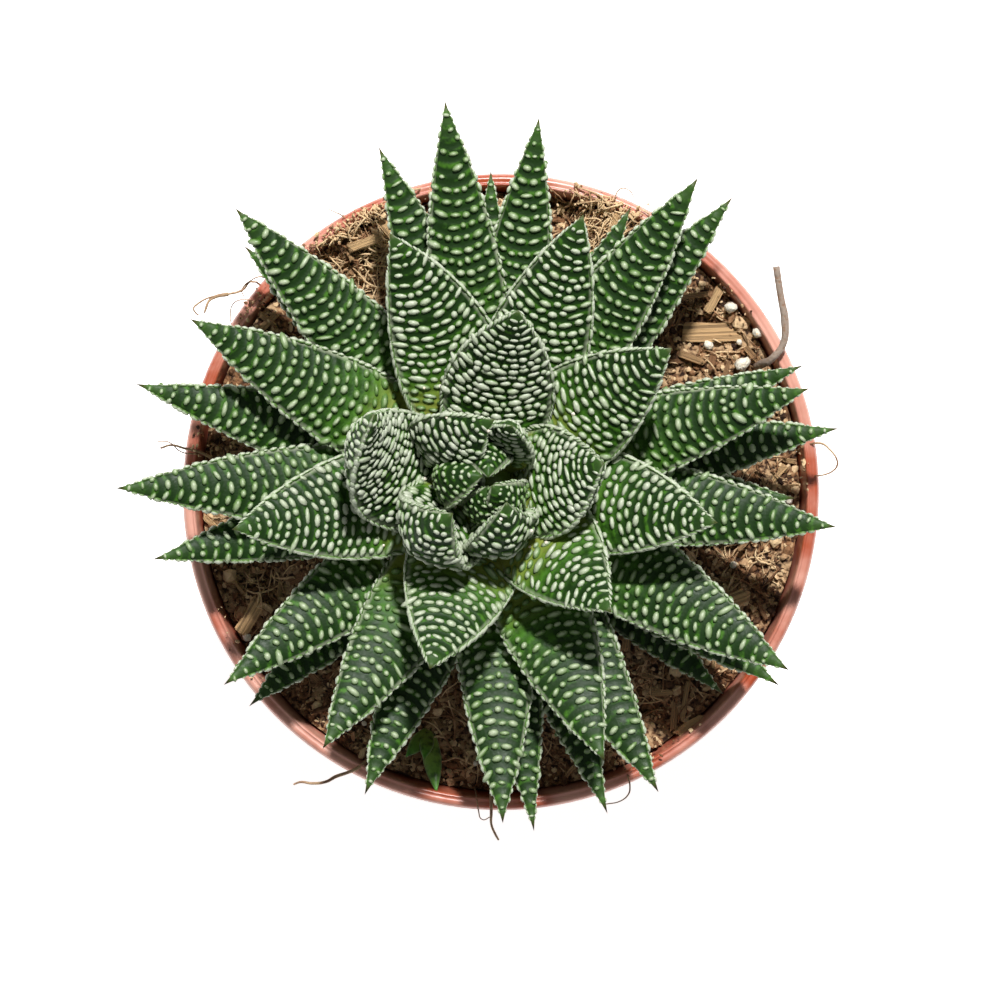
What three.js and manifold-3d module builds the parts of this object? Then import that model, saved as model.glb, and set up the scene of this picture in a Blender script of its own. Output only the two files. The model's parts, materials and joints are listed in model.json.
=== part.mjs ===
// Potted haworthia: a rosette of stiff, pointed, beaded leaves on a short stem, growing in soil in a round nursery pot.
// Millimetres, +Z up. The origin is the centre of the pot's base, on the surface that the pot stands on.

import * as THREE from 'three';
import { mergeVertices } from 'three/addons/utils/BufferGeometryUtils.js';
import Module from 'manifold-3d';

const wasm = await Module();
wasm.setup();

// Driving dimensions
const GAP = 0.4; // between pieces that touch on the real plant
const POT_HEIGHT = 93;
const POT_RIM_RADIUS = 52.5;
const POT_BASE_RADIUS = 37.6;
const POT_WALL = 0.9;
const POT_SIDES = 32;
const COLLAR_HEIGHT = 14; // the straight band under the lip
const SOIL_BELOW_RIM = 5;
const CROWN = new THREE.Vector2( - 2.0, 1.6 ); // the rosette grows a little off the pot's axis
const CROWN_TOP = 26; // of the stem, above the rim
const STEM_FOOT = 25; // of the stem, below the rim

const LEAF_EDGE = 0.4; // half thickness of a leaf's edge
const BEAD_RELIEF = 0.75; // how far the white beads stand proud
const WIDEST_AT = 0.6; // share of a leaf's length, from the tip, where it is widest
const BASE_WIDTH = 0.6; // of the leaf's width, where it meets the stem
const UPPER_SWELL = 0.3; // how far the upper face bulges, as a share of the keel's depth

// Every leaf: azimuth of the tip (degrees), reach of the tip from the crown's axis, height of the tip and of the base
// above the pot's rim, width, and how far the leaf's middle lies clockwise of its tip (degrees). The young leaves also
// have the reach and height of the point that their midline bends towards, and two that wind round the heart have the
// azimuth of their base and the azimuth that their faces are square to.
const HEART = [
	[ 140, 1.3, 37, 24, 10, - 40, 8, 30 ],
	[ - 50, 0.9, 37.2, 24, 9, 0, 5.5, 30 ],
	[ 90, 0.7, 38, 24, 7.5, 0, 5.5, 31 ],
	[ 262, 0.7, 35.6, 24, 8, 0, 5.8, 29.5 ]
];
const INNER = [
	[ 67, 9.4, 40.5, 23, 10.5, 0, 6.5, 29 ],
	[ 311, 4.4, 40.5, 22.5, 13.5, 34, 13.3, 28 ],
	[ 85, 9.6, 42, 22, 15, - 75, 13, 30, 185, 50 ],
	[ 222, 7.6, 43, 21.5, 16.5, 0, 18.3, 30 ],
	[ 9, 18.2, 38, 21, 18, 14, 11, 26 ],
	[ 150, 20.5, 46, 19, 19, - 28, 21.5, 25, 190, 155 ],
	[ 80, 27, 41, 19, 18, - 6, 17, 24 ]
];
const MIDDLE = [
	[ 111.6, 41.8, 34, 15, 17.5, 6 ],
	[ 70.4, 44.4, 33, 13.5, 17, 0 ],
	[ 36, 35.3, 38, 15.5, 17.5, 0 ],
	[ - 10.2, 36.4, 34, 14.5, 17, 0 ],
	[ - 46.8, 27.9, 38, 17, 17, 0 ],
	[ 252.7, 30.6, 37, 16.5, 18, 0 ],
	[ 190.6, 40.8, 33, 15.5, 17.5, 0 ]
];
const OUTER = [
	[ 132.8, 58.9, 24, 9, 13.5, 0 ],
	[ 151.4, 53.5, 26, 11.5, 14.5, 0 ],
	[ 96.5, 60.5, 25, 9.5, 13, 0 ],
	[ 82.1, 58.4, 21, 7.5, 12, 0 ],
	[ 55.4, 58.3, 25, 10, 13.5, 0 ],
	[ 16.2, 52.7, 25, 10.5, 13.5, 0 ],
	[ - 7.4, 55.7, 20, 7.5, 13.5, 0 ],
	[ - 32.1, 56, 25, 9.5, 15, 0 ],
	[ 292.5, 47.7, 27, 11.5, 15.5, 0 ],
	[ 272.4, 54.1, 22, 8, 13, 0 ],
	[ 238.2, 49.5, 26, 10.5, 14, 0 ],
	[ 217.5, 52.8, 22, 8, 13, 0 ],
	[ 181, 58.9, 24, 9, 13, 0 ]
];
const LOWER = [
	[ 108.1, 56.1, 17, 5, 12, 5 ],
	[ 49.4, 59.7, 17, 5, 12.5, 0 ],
	[ 20.3, 53.5, 15, 4, 10, 0 ],
	[ 8.7, 56.6, 13, 3, 12, 0 ],
	[ - 61.3, 56.3, 17, 5.5, 13, 0 ],
	[ 277.4, 56.3, 13, 3, 10, 0 ],
	[ 248.4, 53.5, 17, 5, 12.5, 0 ],
	[ 193, 55, 15, 4, 12, 0 ],
	[ 164.5, 58.2, 18, 5.5, 12.5, 0 ]
];
const BOTTOM = [
	[ - 35, 56.9, 10.5, 2, 12, 0 ],
	[ - 42.1, 51.2, 3, - 0.8, 10, 0 ],
	[ 289.7, 56.6, 8, - 0.5, 11, 0 ],
	[ 223.1, 52.7, 8, 0, 12, 0 ],
	[ 136, 54.6, 9, 0.5, 11, 0 ],
	[ 89.6, 50.2, 7, 0, 9, 0 ],
	[ 62.7, 49.9, 7, 0, 9, 0 ],
	[ - 3, 49.6, 6, - 1, 11, 0 ]
];

// Each tier of leaves: how thick the keel is for the leaf's width, how many rows of beads it has, how many rows the
// smooth shape has that older leaves are cut clear of, how round the tip is (1 is straight-sided) and where the midline
// bends, as shares of the way from base to tip.
const TIERS = [
	{ name: 'heart_leaf', rows: HEART, keel: 0.34, beads: 6, sheathRows: 5, taper: 2.4 },
	{ name: 'inner_leaf', rows: INNER, keel: 0.26, beads: 10, sheathRows: 7, taper: 2 },
	{ name: 'middle_leaf', rows: MIDDLE, keel: 0.24, beads: 12, sheathRows: 6, taper: 1.7, bendOut: 0.6, bendUp: 0.36 },
	{ name: 'outer_leaf', rows: OUTER, keel: 0.25, beads: 13, sheathRows: 7, taper: 1.7, bendOut: 0.55, bendUp: 0.42 },
	{ name: 'lower_leaf', rows: LOWER, keel: 0.24, beads: 11, sheathRows: 6, taper: 1.7, bendOut: 0.5, bendUp: 0.5 },
	{ name: 'bottom_leaf', rows: BOTTOM, keel: 0.22, beads: 9, sheathRows: 5, taper: 1.7, bendOut: 0.5, bendUp: 0.5 }
];

// Materials
const FINISHES = {
	pot: { color: 0xc98a76, roughness: 0.35 },
	soil: { color: 0x5a4634, roughness: 0.95 },
	stem: { color: 0x8fa04a, roughness: 0.6 },
	leaf: { color: 0x3f6b35, roughness: 0.5 },
	shoot: { color: 0x5f9a3c, roughness: 0.5 },
	twig: { color: 0xa69793, roughness: 0.9 }
};

function piece( name, finish, geometry ) {

	const mesh = new THREE.Mesh( geometry, new THREE.MeshStandardMaterial( { ...FINISHES[ finish ], metalness: 0 } ) );
	mesh.name = name;
	return mesh;

}

// Solids for cutting and joining
function solidOf( geometry ) {

	const bare = geometry.clone();
	bare.deleteAttribute( 'normal' );
	bare.deleteAttribute( 'uv' );
	const merged = mergeVertices( bare, 1e-4 );
	return new wasm.Manifold( new wasm.Mesh( {
		numProp: 3,
		vertProperties: merged.attributes.position.array,
		triVerts: new Uint32Array( merged.index.array )
	} ) );

}

function geometryOf( solid ) {

	const mesh = solid.getMesh();
	const geometry = new THREE.BufferGeometry();
	geometry.setAttribute( 'position', new THREE.BufferAttribute( mesh.vertProperties, 3 ) );
	geometry.setIndex( new THREE.BufferAttribute( mesh.triVerts, 1 ) );
	geometry.computeVertexNormals();
	return geometry;

}

// Cutting can leave loose scraps: the largest body is the piece.
function largestBody( solid ) {

	const bodies = solid.decompose();
	return bodies.reduce( ( best, body ) => body.volume() > best.volume() ? body : best, bodies[ 0 ] );

}

// Turned profile of radius and height pairs
function turned( profile, sides ) {

	const points = profile.map( ( [ radius, z ] ) => new THREE.Vector2( radius, z ) );
	return new THREE.LatheGeometry( points, sides ).rotateX( Math.PI / 2 );

}

// A repeatable random draw
function seeded( seed ) {

	let state = seed;
	return () => {

		state = ( state * 1664525 + 1013904223 ) % 4294967296;
		return state / 4294967296;

	};

}

// Pot: a tapered wall with a collar and a rolled lip. Its base stands on a middle disc and on a ring at its edge, and the
// drain holes are in the raised floor between the two.
const POT_FLOOR = 2.4; // height of the floor inside
const POT_UNDERSIDE = 1.2; // height of the raised floor's underside
const FOOT_DISC = 12;
const FOOT_RING = [ 34, 36.6 ]; // inner and outer radius
const COLLAR_Z = POT_HEIGHT - COLLAR_HEIGHT;
const COLLAR_STEP = 1.5;
const WALL_TOP_RADIUS = 48.2;
const LIP_WIDTH = 2.3;
const DRAIN_HOLES = 6;
const DRAIN_RADIUS = 4;
const DRAIN_RING = 24;
const HOLE_SIDES = 12;

function potProfile() {

	const lip = POT_RIM_RADIUS;
	const inside = lip - LIP_WIDTH;
	return [
		[ 0, 0 ], [ FOOT_DISC, 0 ], [ FOOT_DISC + 1, POT_UNDERSIDE ], [ FOOT_RING[ 0 ] - 1, POT_UNDERSIDE ],
		[ FOOT_RING[ 0 ], 0 ], [ FOOT_RING[ 1 ], 0 ], [ POT_BASE_RADIUS, 0.9 ],
		[ WALL_TOP_RADIUS, COLLAR_Z - COLLAR_STEP ],
		[ WALL_TOP_RADIUS + COLLAR_STEP, COLLAR_Z ],
		[ lip - 1.1, POT_HEIGHT - 4.2 ],
		[ lip - 0.2, POT_HEIGHT - 3 ],
		[ lip, POT_HEIGHT - 1.4 ],
		[ lip - 0.35, POT_HEIGHT - 0.4 ],
		[ lip - 0.9, POT_HEIGHT ],
		[ inside + 0.7, POT_HEIGHT ],
		[ inside + 0.15, POT_HEIGHT - 0.5 ],
		[ inside, POT_HEIGHT - 1.4 ],
		[ WALL_TOP_RADIUS + COLLAR_STEP - POT_WALL, COLLAR_Z + 0.6 ],
		[ WALL_TOP_RADIUS - POT_WALL, COLLAR_Z - COLLAR_STEP ],
		[ POT_BASE_RADIUS - POT_WALL, POT_FLOOR ],
		[ 0, POT_FLOOR ]
	];

}

function pot() {

	let body = solidOf( turned( potProfile(), POT_SIDES ) );
	for ( let i = 0; i < DRAIN_HOLES; i ++ ) {

		const angle = 2 * Math.PI * i / DRAIN_HOLES;
		const hole = new THREE.CylinderGeometry( DRAIN_RADIUS, DRAIN_RADIUS, 3 * POT_FLOOR, HOLE_SIDES );
		hole.rotateX( Math.PI / 2 ).translate( DRAIN_RING * Math.cos( angle ), DRAIN_RING * Math.sin( angle ), 0 );
		body = body.subtract( solidOf( hole ) );

	}

	return piece( 'pot', 'pot', geometryOf( body ) );

}

// Stem of the rosette, from its foot in the soil to the growing point
const STEM_PROFILE = [
	[ 0, - STEM_FOOT ], [ 3.5, - STEM_FOOT ], [ 6.5, - 18 ], [ 8.2, - 8 ], [ 9, 0 ], [ 8.6, 6 ], [ 7.2, 14 ],
	[ 5, 21 ], [ 2.6, CROWN_TOP - 1 ], [ 0, CROWN_TOP ]
];
const STEM_SIDES = 14;

function stemSolid( clearance ) {

	const last = STEM_PROFILE.length - 1;
	const profile = STEM_PROFILE.map( ( [ radius, height ], i ) => [
		i === 0 || i === last ? 0 : radius + clearance,
		POT_HEIGHT + height + ( i < 2 ? - clearance : i === last ? clearance : 0 )
	] );
	return solidOf( turned( profile, STEM_SIDES ).translate( CROWN.x, CROWN.y, 0 ) );

}

// A leaf's width, as a share of its widest, at a share of its length from the tip
function widthShare( fromTip, taper ) {

	if ( fromTip < WIDEST_AT ) return 1 - Math.pow( 1 - fromTip / WIDEST_AT, taper );
	return 1 - ( 1 - BASE_WIDTH ) * Math.pow( ( fromTip - WIDEST_AT ) / ( 1 - WIDEST_AT ), 2 );

}

const Z_AXIS = new THREE.Vector3( 0, 0, 1 );

function around( azimuth, radius, z, centre = CROWN ) {

	const angle = THREE.MathUtils.degToRad( azimuth );
	return new THREE.Vector3( centre.x + radius * Math.cos( angle ), centre.y + radius * Math.sin( angle ), z );

}

const ROOT_RADIUS = 3; // the leaves start inside the stem, which is then cut out of them

// A leaf's midline, the azimuth that its faces are square to, its width, the depth of its keel and its tip's taper
function leafFrom( row, tier ) {

	const [ azimuth, reach, tip, base, width, turn, bendReach, bendHeight, foot, facing ] = row;
	const start = around( foot ?? azimuth - turn / 2, ROOT_RADIUS, POT_HEIGHT + base );
	const end = around( azimuth, reach, POT_HEIGHT + tip );
	const out = bendReach ?? reach * tier.bendOut;
	const up = bendHeight ?? THREE.MathUtils.lerp( base, tip, tier.bendUp );
	const bend = around( azimuth - turn, out, POT_HEIGHT + up );
	return {
		curve: new THREE.QuadraticBezierCurve3( start, bend, end ),
		facing: facing ?? azimuth - turn / 2,
		width,
		keel: tier.keel * width,
		taper: tier.taper
	};

}

// The points of a leaf's section as shares of its half width, first over the upper face and then back under the keel
const SECTION = [ [ 1, 0 ], [ 0.6, 1 ], [ 0, 1 ], [ - 0.6, 1 ], [ - 1, 0 ], [ - 0.6, - 1 ], [ 0, - 1 ], [ 0.6, - 1 ] ];

// One leaf as a closed surface. Every second point of the net is raised, as the leaf's beads and toothed edge are.
function leafSurface( { curve, facing, width, keel, taper }, rows, relief, grown ) {

	const points = [];
	const sideways = new THREE.Vector3( 0, 1, 0 ).applyAxisAngle( Z_AXIS, THREE.MathUtils.degToRad( facing ) );
	for ( let row = 0; row < rows; row ++ ) {

		const t = row / rows;
		const centre = curve.getPoint( t );
		const along = curve.getTangent( t );
		const side = sideways.clone().addScaledVector( along, - sideways.dot( along ) ).normalize();
		const up = along.clone().cross( side );
		const half = width / 2 * widthShare( 1 - t, taper );
		const depth = keel * Math.min( 1, 1.1 * widthShare( 1 - t, taper ) );
		SECTION.forEach( ( [ share, face ], i ) => {

			const raised = grown + ( ( row + i ) % 2 && row > 0 ? relief * Math.min( 1, half / 3 ) : 0 );
			const upper = UPPER_SWELL * depth * ( 1 - share * share );
			const lower = - depth * ( 1 - Math.pow( Math.abs( share ), 1.5 ) );
			const out = face ? half : half + raised - relief / 2;
			const point = centre.clone().addScaledVector( side, share * out );
			points.push( point.addScaledVector( up, ( face > 0 ? upper : lower ) + face * ( LEAF_EDGE + raised ) ) );

		} );

	}

	points.push( curve.getPoint( 1 ).addScaledVector( curve.getTangent( 1 ), grown ) );
	points.push( curve.getPoint( 0 ) );
	return netGeometry( points, rows, SECTION.length );

}

// Joins rings of points into a closed surface. The last point but one closes the last ring, and the last the first ring.
function netGeometry( points, rings, sides ) {

	const index = [];
	const tip = rings * sides;
	for ( let ring = 0; ring < rings - 1; ring ++ ) {

		for ( let i = 0; i < sides; i ++ ) {

			const a = ring * sides + i;
			const b = ring * sides + ( i + 1 ) % sides;
			const c = a + sides;
			const d = b + sides;
			if ( ( ring + i ) % 2 ) index.push( a, b, c, b, d, c );
			else index.push( a, b, d, a, d, c );

		}

	}

	for ( let i = 0; i < sides; i ++ ) {

		const next = ( i + 1 ) % sides;
		index.push( tip - sides + i, tip - sides + next, tip );
		index.push( next, i, tip + 1 );

	}

	const geometry = new THREE.BufferGeometry().setFromPoints( points );
	geometry.setIndex( index );
	return geometry;

}

// Every leaf is cut clear of the stem and of the younger leaves that it sheathes.
function leaves() {

	const stem = stemSolid( GAP );
	const younger = [];
	const made = [];
	for ( const tier of TIERS ) {

		tier.rows.forEach( ( row, i ) => {

			const leaf = leafFrom( row, tier );
			let body = solidOf( leafSurface( leaf, tier.beads, BEAD_RELIEF, 0 ) ).subtract( stem );
			for ( const other of younger ) body = body.subtract( other );
			younger.push( solidOf( leafSurface( leaf, tier.sheathRows, 0, BEAD_RELIEF + GAP ) ) );
			made.push( piece( `${ tier.name }_${ i + 1 }`, 'leaf', geometryOf( largestBody( body ) ) ) );

		} );

	}

	return made;

}

// Soil with its lumps, and bark chips and perlite grains sunk into it
const SOIL_RINGS = [ 49.4, 45.5, 39, 31, 20 ];
const SOIL_LUMPS = 1.1; // height of the lumps above and below the mean
const CHIP_COUNT = 16;
const CHIP_SIZE = 3.2;
const CHIP_SHAPE = [ 1.3, 0.8, 0.55 ]; // long, narrow and flat
const CHIP_RING = [ 27, 46 ]; // least and greatest distance from the pot's axis
const CHIP_TILT = 0.5;
const CHIP_RISE = 0.4; // of a chip's middle above the soil

function soilHeight( x, y ) {

	const lumps = Math.sin( 0.31 * x + 1.3 ) * Math.cos( 0.27 * y - 0.4 ) + 0.6 * Math.sin( 0.53 * y + 0.38 * x + 2.1 );
	return POT_HEIGHT - SOIL_BELOW_RIM + SOIL_LUMPS * lumps;

}

function soilSolid() {

	const points = [];
	const profile = [
		[ POT_BASE_RADIUS - POT_WALL - 2 * GAP, POT_FLOOR + GAP ],
		[ WALL_TOP_RADIUS - POT_WALL - GAP, COLLAR_Z - COLLAR_STEP ],
		[ WALL_TOP_RADIUS + COLLAR_STEP - POT_WALL - GAP, COLLAR_Z + 1 ]
	];
	const rings = profile.length + SOIL_RINGS.length;
	for ( let ring = 0; ring < rings; ring ++ ) {

		for ( let i = 0; i < POT_SIDES; i ++ ) {

			const angle = 2 * Math.PI * i / POT_SIDES;
			const [ radius, z ] = profile[ ring ] ?? [ SOIL_RINGS[ ring - profile.length ], null ];
			const x = radius * Math.sin( angle );
			const y = - radius * Math.cos( angle );
			points.push( new THREE.Vector3( x, y, z ?? soilHeight( x, y ) ) );

		}

	}

	points.push( new THREE.Vector3( 0, 0, soilHeight( 0, 0 ) ), new THREE.Vector3( 0, 0, POT_FLOOR + GAP ) );
	return solidOf( netGeometry( points, rings, POT_SIDES ) );

}

function soil( stem, shoot, twigClearance ) {

	const draw = seeded( 11 );
	let body = soilSolid();
	for ( let i = 0; i < CHIP_COUNT; i ++ ) {

		const angle = 2 * Math.PI * draw();
		const radius = THREE.MathUtils.lerp( ...CHIP_RING, draw() );
		const chip = new THREE.IcosahedronGeometry( CHIP_SIZE * ( 0.6 + 0.8 * draw() ), 0 );
		chip.scale( ...CHIP_SHAPE ).rotateZ( 2 * Math.PI * draw() ).rotateX( CHIP_TILT * draw() );
		const x = radius * Math.cos( angle );
		const y = radius * Math.sin( angle );
		chip.translate( x, y, soilHeight( x, y ) + CHIP_RISE );
		body = body.add( solidOf( chip ) );

	}

	body = body.subtract( stem ).subtract( shoot ).subtract( twigClearance );
	return piece( 'soil', 'soil', geometryOf( largestBody( body ) ) );

}

// Offset shoot: three small leaves from one stub that stands in the soil near the rim
const SHOOT_PLACE = new THREE.Vector2( - 12, - 39.5 );
// azimuth, reach, height of the tip above the pot's rim, width
const SHOOT_LEAVES = [
	[ 278, 9.8, - 0.5, 3.1 ],
	[ 228, 5.2, 1.2, 2.6 ],
	[ 262, 4.2, 1.8, 2.4 ]
];
const SHOOT_STUB_RADIUS = 2.2;
const SHOOT_FOOT = 14; // below the rim, as the next two
const SHOOT_TOP = 3;
const SHOOT_LEAF_BASE = 4.6;
const SHOOT_ARCH = 1.6; // how far a leaf's middle hangs below its tip
const SHOOT_SIDES = 9;
const SHOOT_ROWS = 5;
const SHOOT_RELIEF = 0.25;
const SHOOT_TAPER = 1.7;

function shootSolid( grown ) {

	const foot = POT_HEIGHT - SHOOT_FOOT - grown;
	const top = POT_HEIGHT - SHOOT_TOP;
	const radius = SHOOT_STUB_RADIUS + grown;
	const stub = new THREE.CylinderGeometry( radius, radius, top - foot, SHOOT_SIDES ).rotateX( Math.PI / 2 );
	let body = solidOf( stub.translate( SHOOT_PLACE.x, SHOOT_PLACE.y, ( top + foot ) / 2 ) );
	for ( const [ azimuth, reach, tip, width ] of SHOOT_LEAVES ) {

		const start = around( azimuth, 0, POT_HEIGHT - SHOOT_LEAF_BASE, SHOOT_PLACE );
		const bend = around( azimuth, 0.6 * reach, POT_HEIGHT + tip - SHOOT_ARCH, SHOOT_PLACE );
		const end = around( azimuth, reach, POT_HEIGHT + tip, SHOOT_PLACE );
		const curve = new THREE.QuadraticBezierCurve3( start, bend, end );
		const leaf = { curve, facing: azimuth, width, keel: 0.2 * width, taper: SHOOT_TAPER };
		body = body.add( solidOf( leafSurface( leaf, SHOOT_ROWS, SHOOT_RELIEF, grown ) ) );

	}

	return body;

}

// Dry twig: stands in the soil, lies over the lip and points away along the pot. The heights are above the rim.
const TWIG_RADIUS = 0.7;
const TWIG_PATH = [
	[ 41.6, 20.4, - 8 ], [ 43.2, 21.2, - 1.5 ], [ 44.5, 21.9, 1.2 ], [ 46.3, 24.2, 1.8 ], [ 46.6, 28, 2.3 ],
	[ 45.9, 32, 2.8 ], [ 45.1, 36.9, 3.6 ]
];
const TWIG_STEPS = 12;

function twigSolid( grown ) {

	const path = new THREE.CatmullRomCurve3( TWIG_PATH.map( ( [ x, y, z ] ) => new THREE.Vector3( x, y, POT_HEIGHT + z ) ) );
	const section = new THREE.Shape().absarc( 0, 0, TWIG_RADIUS + grown, 0, 2 * Math.PI );
	return solidOf( new THREE.ExtrudeGeometry( section, { steps: TWIG_STEPS, curveSegments: 3, extrudePath: path } ) );

}

// The whole plant in its pot
const plant = new THREE.Group();
plant.add( pot() );
plant.add( soil( stemSolid( GAP ), shootSolid( GAP ), twigSolid( GAP ) ) );
plant.add( piece( 'crown_stem', 'stem', geometryOf( stemSolid( 0 ) ) ) );
plant.add( ...leaves() );
plant.add( piece( 'offset_shoot', 'shoot', geometryOf( shootSolid( 0 ) ) ) );
plant.add( piece( 'twig', 'twig', geometryOf( twigSolid( 0 ) ) ) );

export default plant;
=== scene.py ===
"""Potted haworthia: a rosette of pointed, beaded leaves in a plastic nursery pot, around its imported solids.

Metres, +Z up. The origin is the centre of the pot's base, on the surface that the pot stands on.
The file is laid out as an add-on, with one operator for each piece or group of like pieces.
"""

import json
import math
from contextlib import contextmanager
from typing import NamedTuple

import bpy
import numpy as np
from bpy.props import FloatProperty, FloatVectorProperty, PointerProperty
from mathutils import Euler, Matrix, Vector, noise

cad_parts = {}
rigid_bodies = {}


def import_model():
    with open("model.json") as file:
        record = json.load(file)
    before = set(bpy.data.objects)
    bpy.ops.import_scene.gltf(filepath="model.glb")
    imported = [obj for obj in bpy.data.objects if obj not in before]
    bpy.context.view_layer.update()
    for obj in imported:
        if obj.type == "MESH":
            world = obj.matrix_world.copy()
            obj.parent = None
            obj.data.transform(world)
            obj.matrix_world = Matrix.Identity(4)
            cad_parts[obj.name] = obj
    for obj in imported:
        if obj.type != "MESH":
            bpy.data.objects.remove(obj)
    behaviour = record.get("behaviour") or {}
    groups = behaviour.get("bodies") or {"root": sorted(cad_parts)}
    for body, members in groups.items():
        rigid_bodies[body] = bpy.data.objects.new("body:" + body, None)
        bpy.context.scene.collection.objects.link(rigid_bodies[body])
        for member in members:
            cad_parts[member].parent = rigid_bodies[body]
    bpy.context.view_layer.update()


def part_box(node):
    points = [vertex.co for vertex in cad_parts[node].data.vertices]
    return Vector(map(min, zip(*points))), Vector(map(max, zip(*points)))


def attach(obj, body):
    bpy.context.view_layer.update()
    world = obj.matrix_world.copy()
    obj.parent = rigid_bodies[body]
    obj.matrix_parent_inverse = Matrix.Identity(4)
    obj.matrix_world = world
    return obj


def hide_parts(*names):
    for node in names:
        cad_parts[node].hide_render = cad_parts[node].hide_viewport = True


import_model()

bl_info = {
    "name": "Potted haworthia",
    "version": (1, 0, 0),
    "blender": (4, 5, 0),
    "location": "3D View > Sidebar > Haworthia",
    "description": "Adds a haworthia with beaded leaves, in soil in a nursery pot",
    "category": "Object",
}

MM = 0.001
BODY = "root"  # the plant, the soil and the pot only rest in each other
POT_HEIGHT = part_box("pot")[1].z

# The plant, as its solids have it
CROWN = np.array([-2.0, 1.6, 0.0]) * MM  # the rosette's axis, off the pot's axis
ROOT_RADIUS = 3 * MM  # the leaves start inside the stem
LEAF_EDGE = 0.4 * MM  # half thickness of a leaf's edge
LEAF_BLUNT = 0.22 * MM  # half width of a leaf where it ends
BROWN_SPINE = 0.8 * MM  # length from which a thorn is all brown
YOUNG_SPINE = 0.25  # a thorn's length on the youngest leaves, as a share of that on the oldest
LEAF_RINGS, LEAF_SIDES = 44, 24
BEAD_FOOT = 0.3  # how deep a bead's foot is sunk, as a share of its height
BEAD_HALF = 0.58  # half a bead's width, before the bead takes its own size
BEAD_SKEW = 0.18  # how far the beads turn out of their rows
LONG_BEADS = 0.12  # share of the beads that are half as long again as the others
MISSING_BEADS = 0.03
BEADLESS_EDGE = 0.7 * MM  # the bare strips along both edges together
SMALL_BEADS = 10 * MM  # length of the tip where the beads grow to their full size
GREEN_BEADS = 8 * MM  # length above the last row where the beads turn greener
BEAD_CLEARANCE = 0.05 * MM  # of a bead's middle from a younger leaf
FIRST_TOOTH = 1.4 * MM  # from the tip
TOOTH_LENGTH, TOOTH_WIDTH = 1.2, 0.75  # along the edge and across it, in millimetres
WIDEST_AT = 0.6  # share of a leaf's length, from the tip, where it is widest
BASE_WIDTH = 0.6  # of the leaf's width, where it meets the stem
UPPER_SWELL = 0.3  # how far the upper face bulges, as a share of the keel's depth
KEEL_ROUND = 1.5  # how the keel falls away to the edges, 1 for a plain wedge and 2 for a round one


class Tier(NamedTuple):
    """What the leaves of one tier share. Lengths are in millimetres."""

    name: str
    keel: float  # depth of the keel as a share of the leaf's width
    bend_out: float  # where the midline bends, as shares of the way from base to tip
    bend_up: float
    row_pitch: tuple  # between rows of beads, at the tip and at the base
    bead: tuple  # a bead's length along its row, its width and its height
    bare: float  # length with no beads at the tip
    inmost: float  # reach from the crown's axis inside which there are no beads
    taper: float  # how blunt the tip is
    white: float  # how white the beads are
    young: float  # 0 for the oldest leaves, 1 for the youngest
    fresh: float  # length that is yellow-green, from the base
    rows: tuple


# Each leaf: azimuth of the tip in degrees, reach of the tip from the crown's axis, height of the tip and of
# the base above the pot's rim, width and how far the leaf's middle lies clockwise of its tip in degrees. The
# young leaves also have the reach and the height of the point that the midline bends towards, and two that
# wind round the heart have the azimuth of the base and the way that the leaf faces. Lengths are in
# millimetres.
HEART = (
    (140, 1.3, 37, 24, 10, -40, 8, 30), (-50, 0.9, 37.2, 24, 9, 0, 5.5, 30),
    (90, 0.7, 38, 24, 7.5, 0, 5.5, 31), (262, 0.7, 35.6, 24, 8, 0, 5.8, 29.5),
)
INNER = (
    (67, 9.4, 40.5, 23, 10.5, 0, 6.5, 29), (311, 4.4, 40.5, 22.5, 13.5, 34, 13.3, 28),
    (85, 9.6, 42, 22, 15, -75, 13, 30, 185, 50), (222, 7.6, 43, 21.5, 16.5, 0, 18.3, 30),
    (9, 18.2, 38, 21, 18, 14, 11, 26), (150, 20.5, 46, 19, 19, -28, 21.5, 25, 190, 155),
    (80, 27, 41, 19, 18, -6, 17, 24),
)
MIDDLE = (
    (111.6, 41.8, 34, 15, 17.5, 6), (70.4, 44.4, 33, 13.5, 17, 0), (36, 35.3, 38, 15.5, 17.5, 0),
    (-10.2, 36.4, 34, 14.5, 17, 0), (-46.8, 27.9, 38, 17, 17, 0), (252.7, 30.6, 37, 16.5, 18, 0),
    (190.6, 40.8, 33, 15.5, 17.5, 0),
)
OUTER = (
    (132.8, 58.9, 24, 9, 13.5, 0), (151.4, 53.5, 26, 11.5, 14.5, 0), (96.5, 60.5, 25, 9.5, 13, 0),
    (82.1, 58.4, 21, 7.5, 12, 0), (55.4, 58.3, 25, 10, 13.5, 0), (16.2, 52.7, 25, 10.5, 13.5, 0),
    (-7.4, 55.7, 20, 7.5, 13.5, 0), (-32.1, 56, 25, 9.5, 15, 0), (292.5, 47.7, 27, 11.5, 15.5, 0),
    (272.4, 54.1, 22, 8, 13, 0), (238.2, 49.5, 26, 10.5, 14, 0), (217.5, 52.8, 22, 8, 13, 0),
    (181, 58.9, 24, 9, 13, 0),
)
LOWER = (
    (108.1, 56.1, 17, 5, 12, 5), (49.4, 59.7, 17, 5, 12.5, 0), (20.3, 53.5, 15, 4, 10, 0),
    (8.7, 56.6, 13, 3, 12, 0), (-61.3, 56.3, 17, 5.5, 13, 0), (277.4, 56.3, 13, 3, 10, 0),
    (248.4, 53.5, 17, 5, 12.5, 0), (193, 55, 15, 4, 12, 0), (164.5, 58.2, 18, 5.5, 12.5, 0),
)
BOTTOM = (
    (-35, 56.9, 10.5, 2, 12, 0), (-42.1, 51.2, 3, -0.8, 10, 0), (289.7, 56.6, 8, -0.5, 11, 0),
    (223.1, 52.7, 8, 0, 12, 0), (136, 54.6, 9, 0.5, 11, 0), (89.6, 50.2, 7, 0, 9, 0),
    (62.7, 49.9, 7, 0, 9, 0), (-3, 49.6, 6, -1, 11, 0),
)
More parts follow.
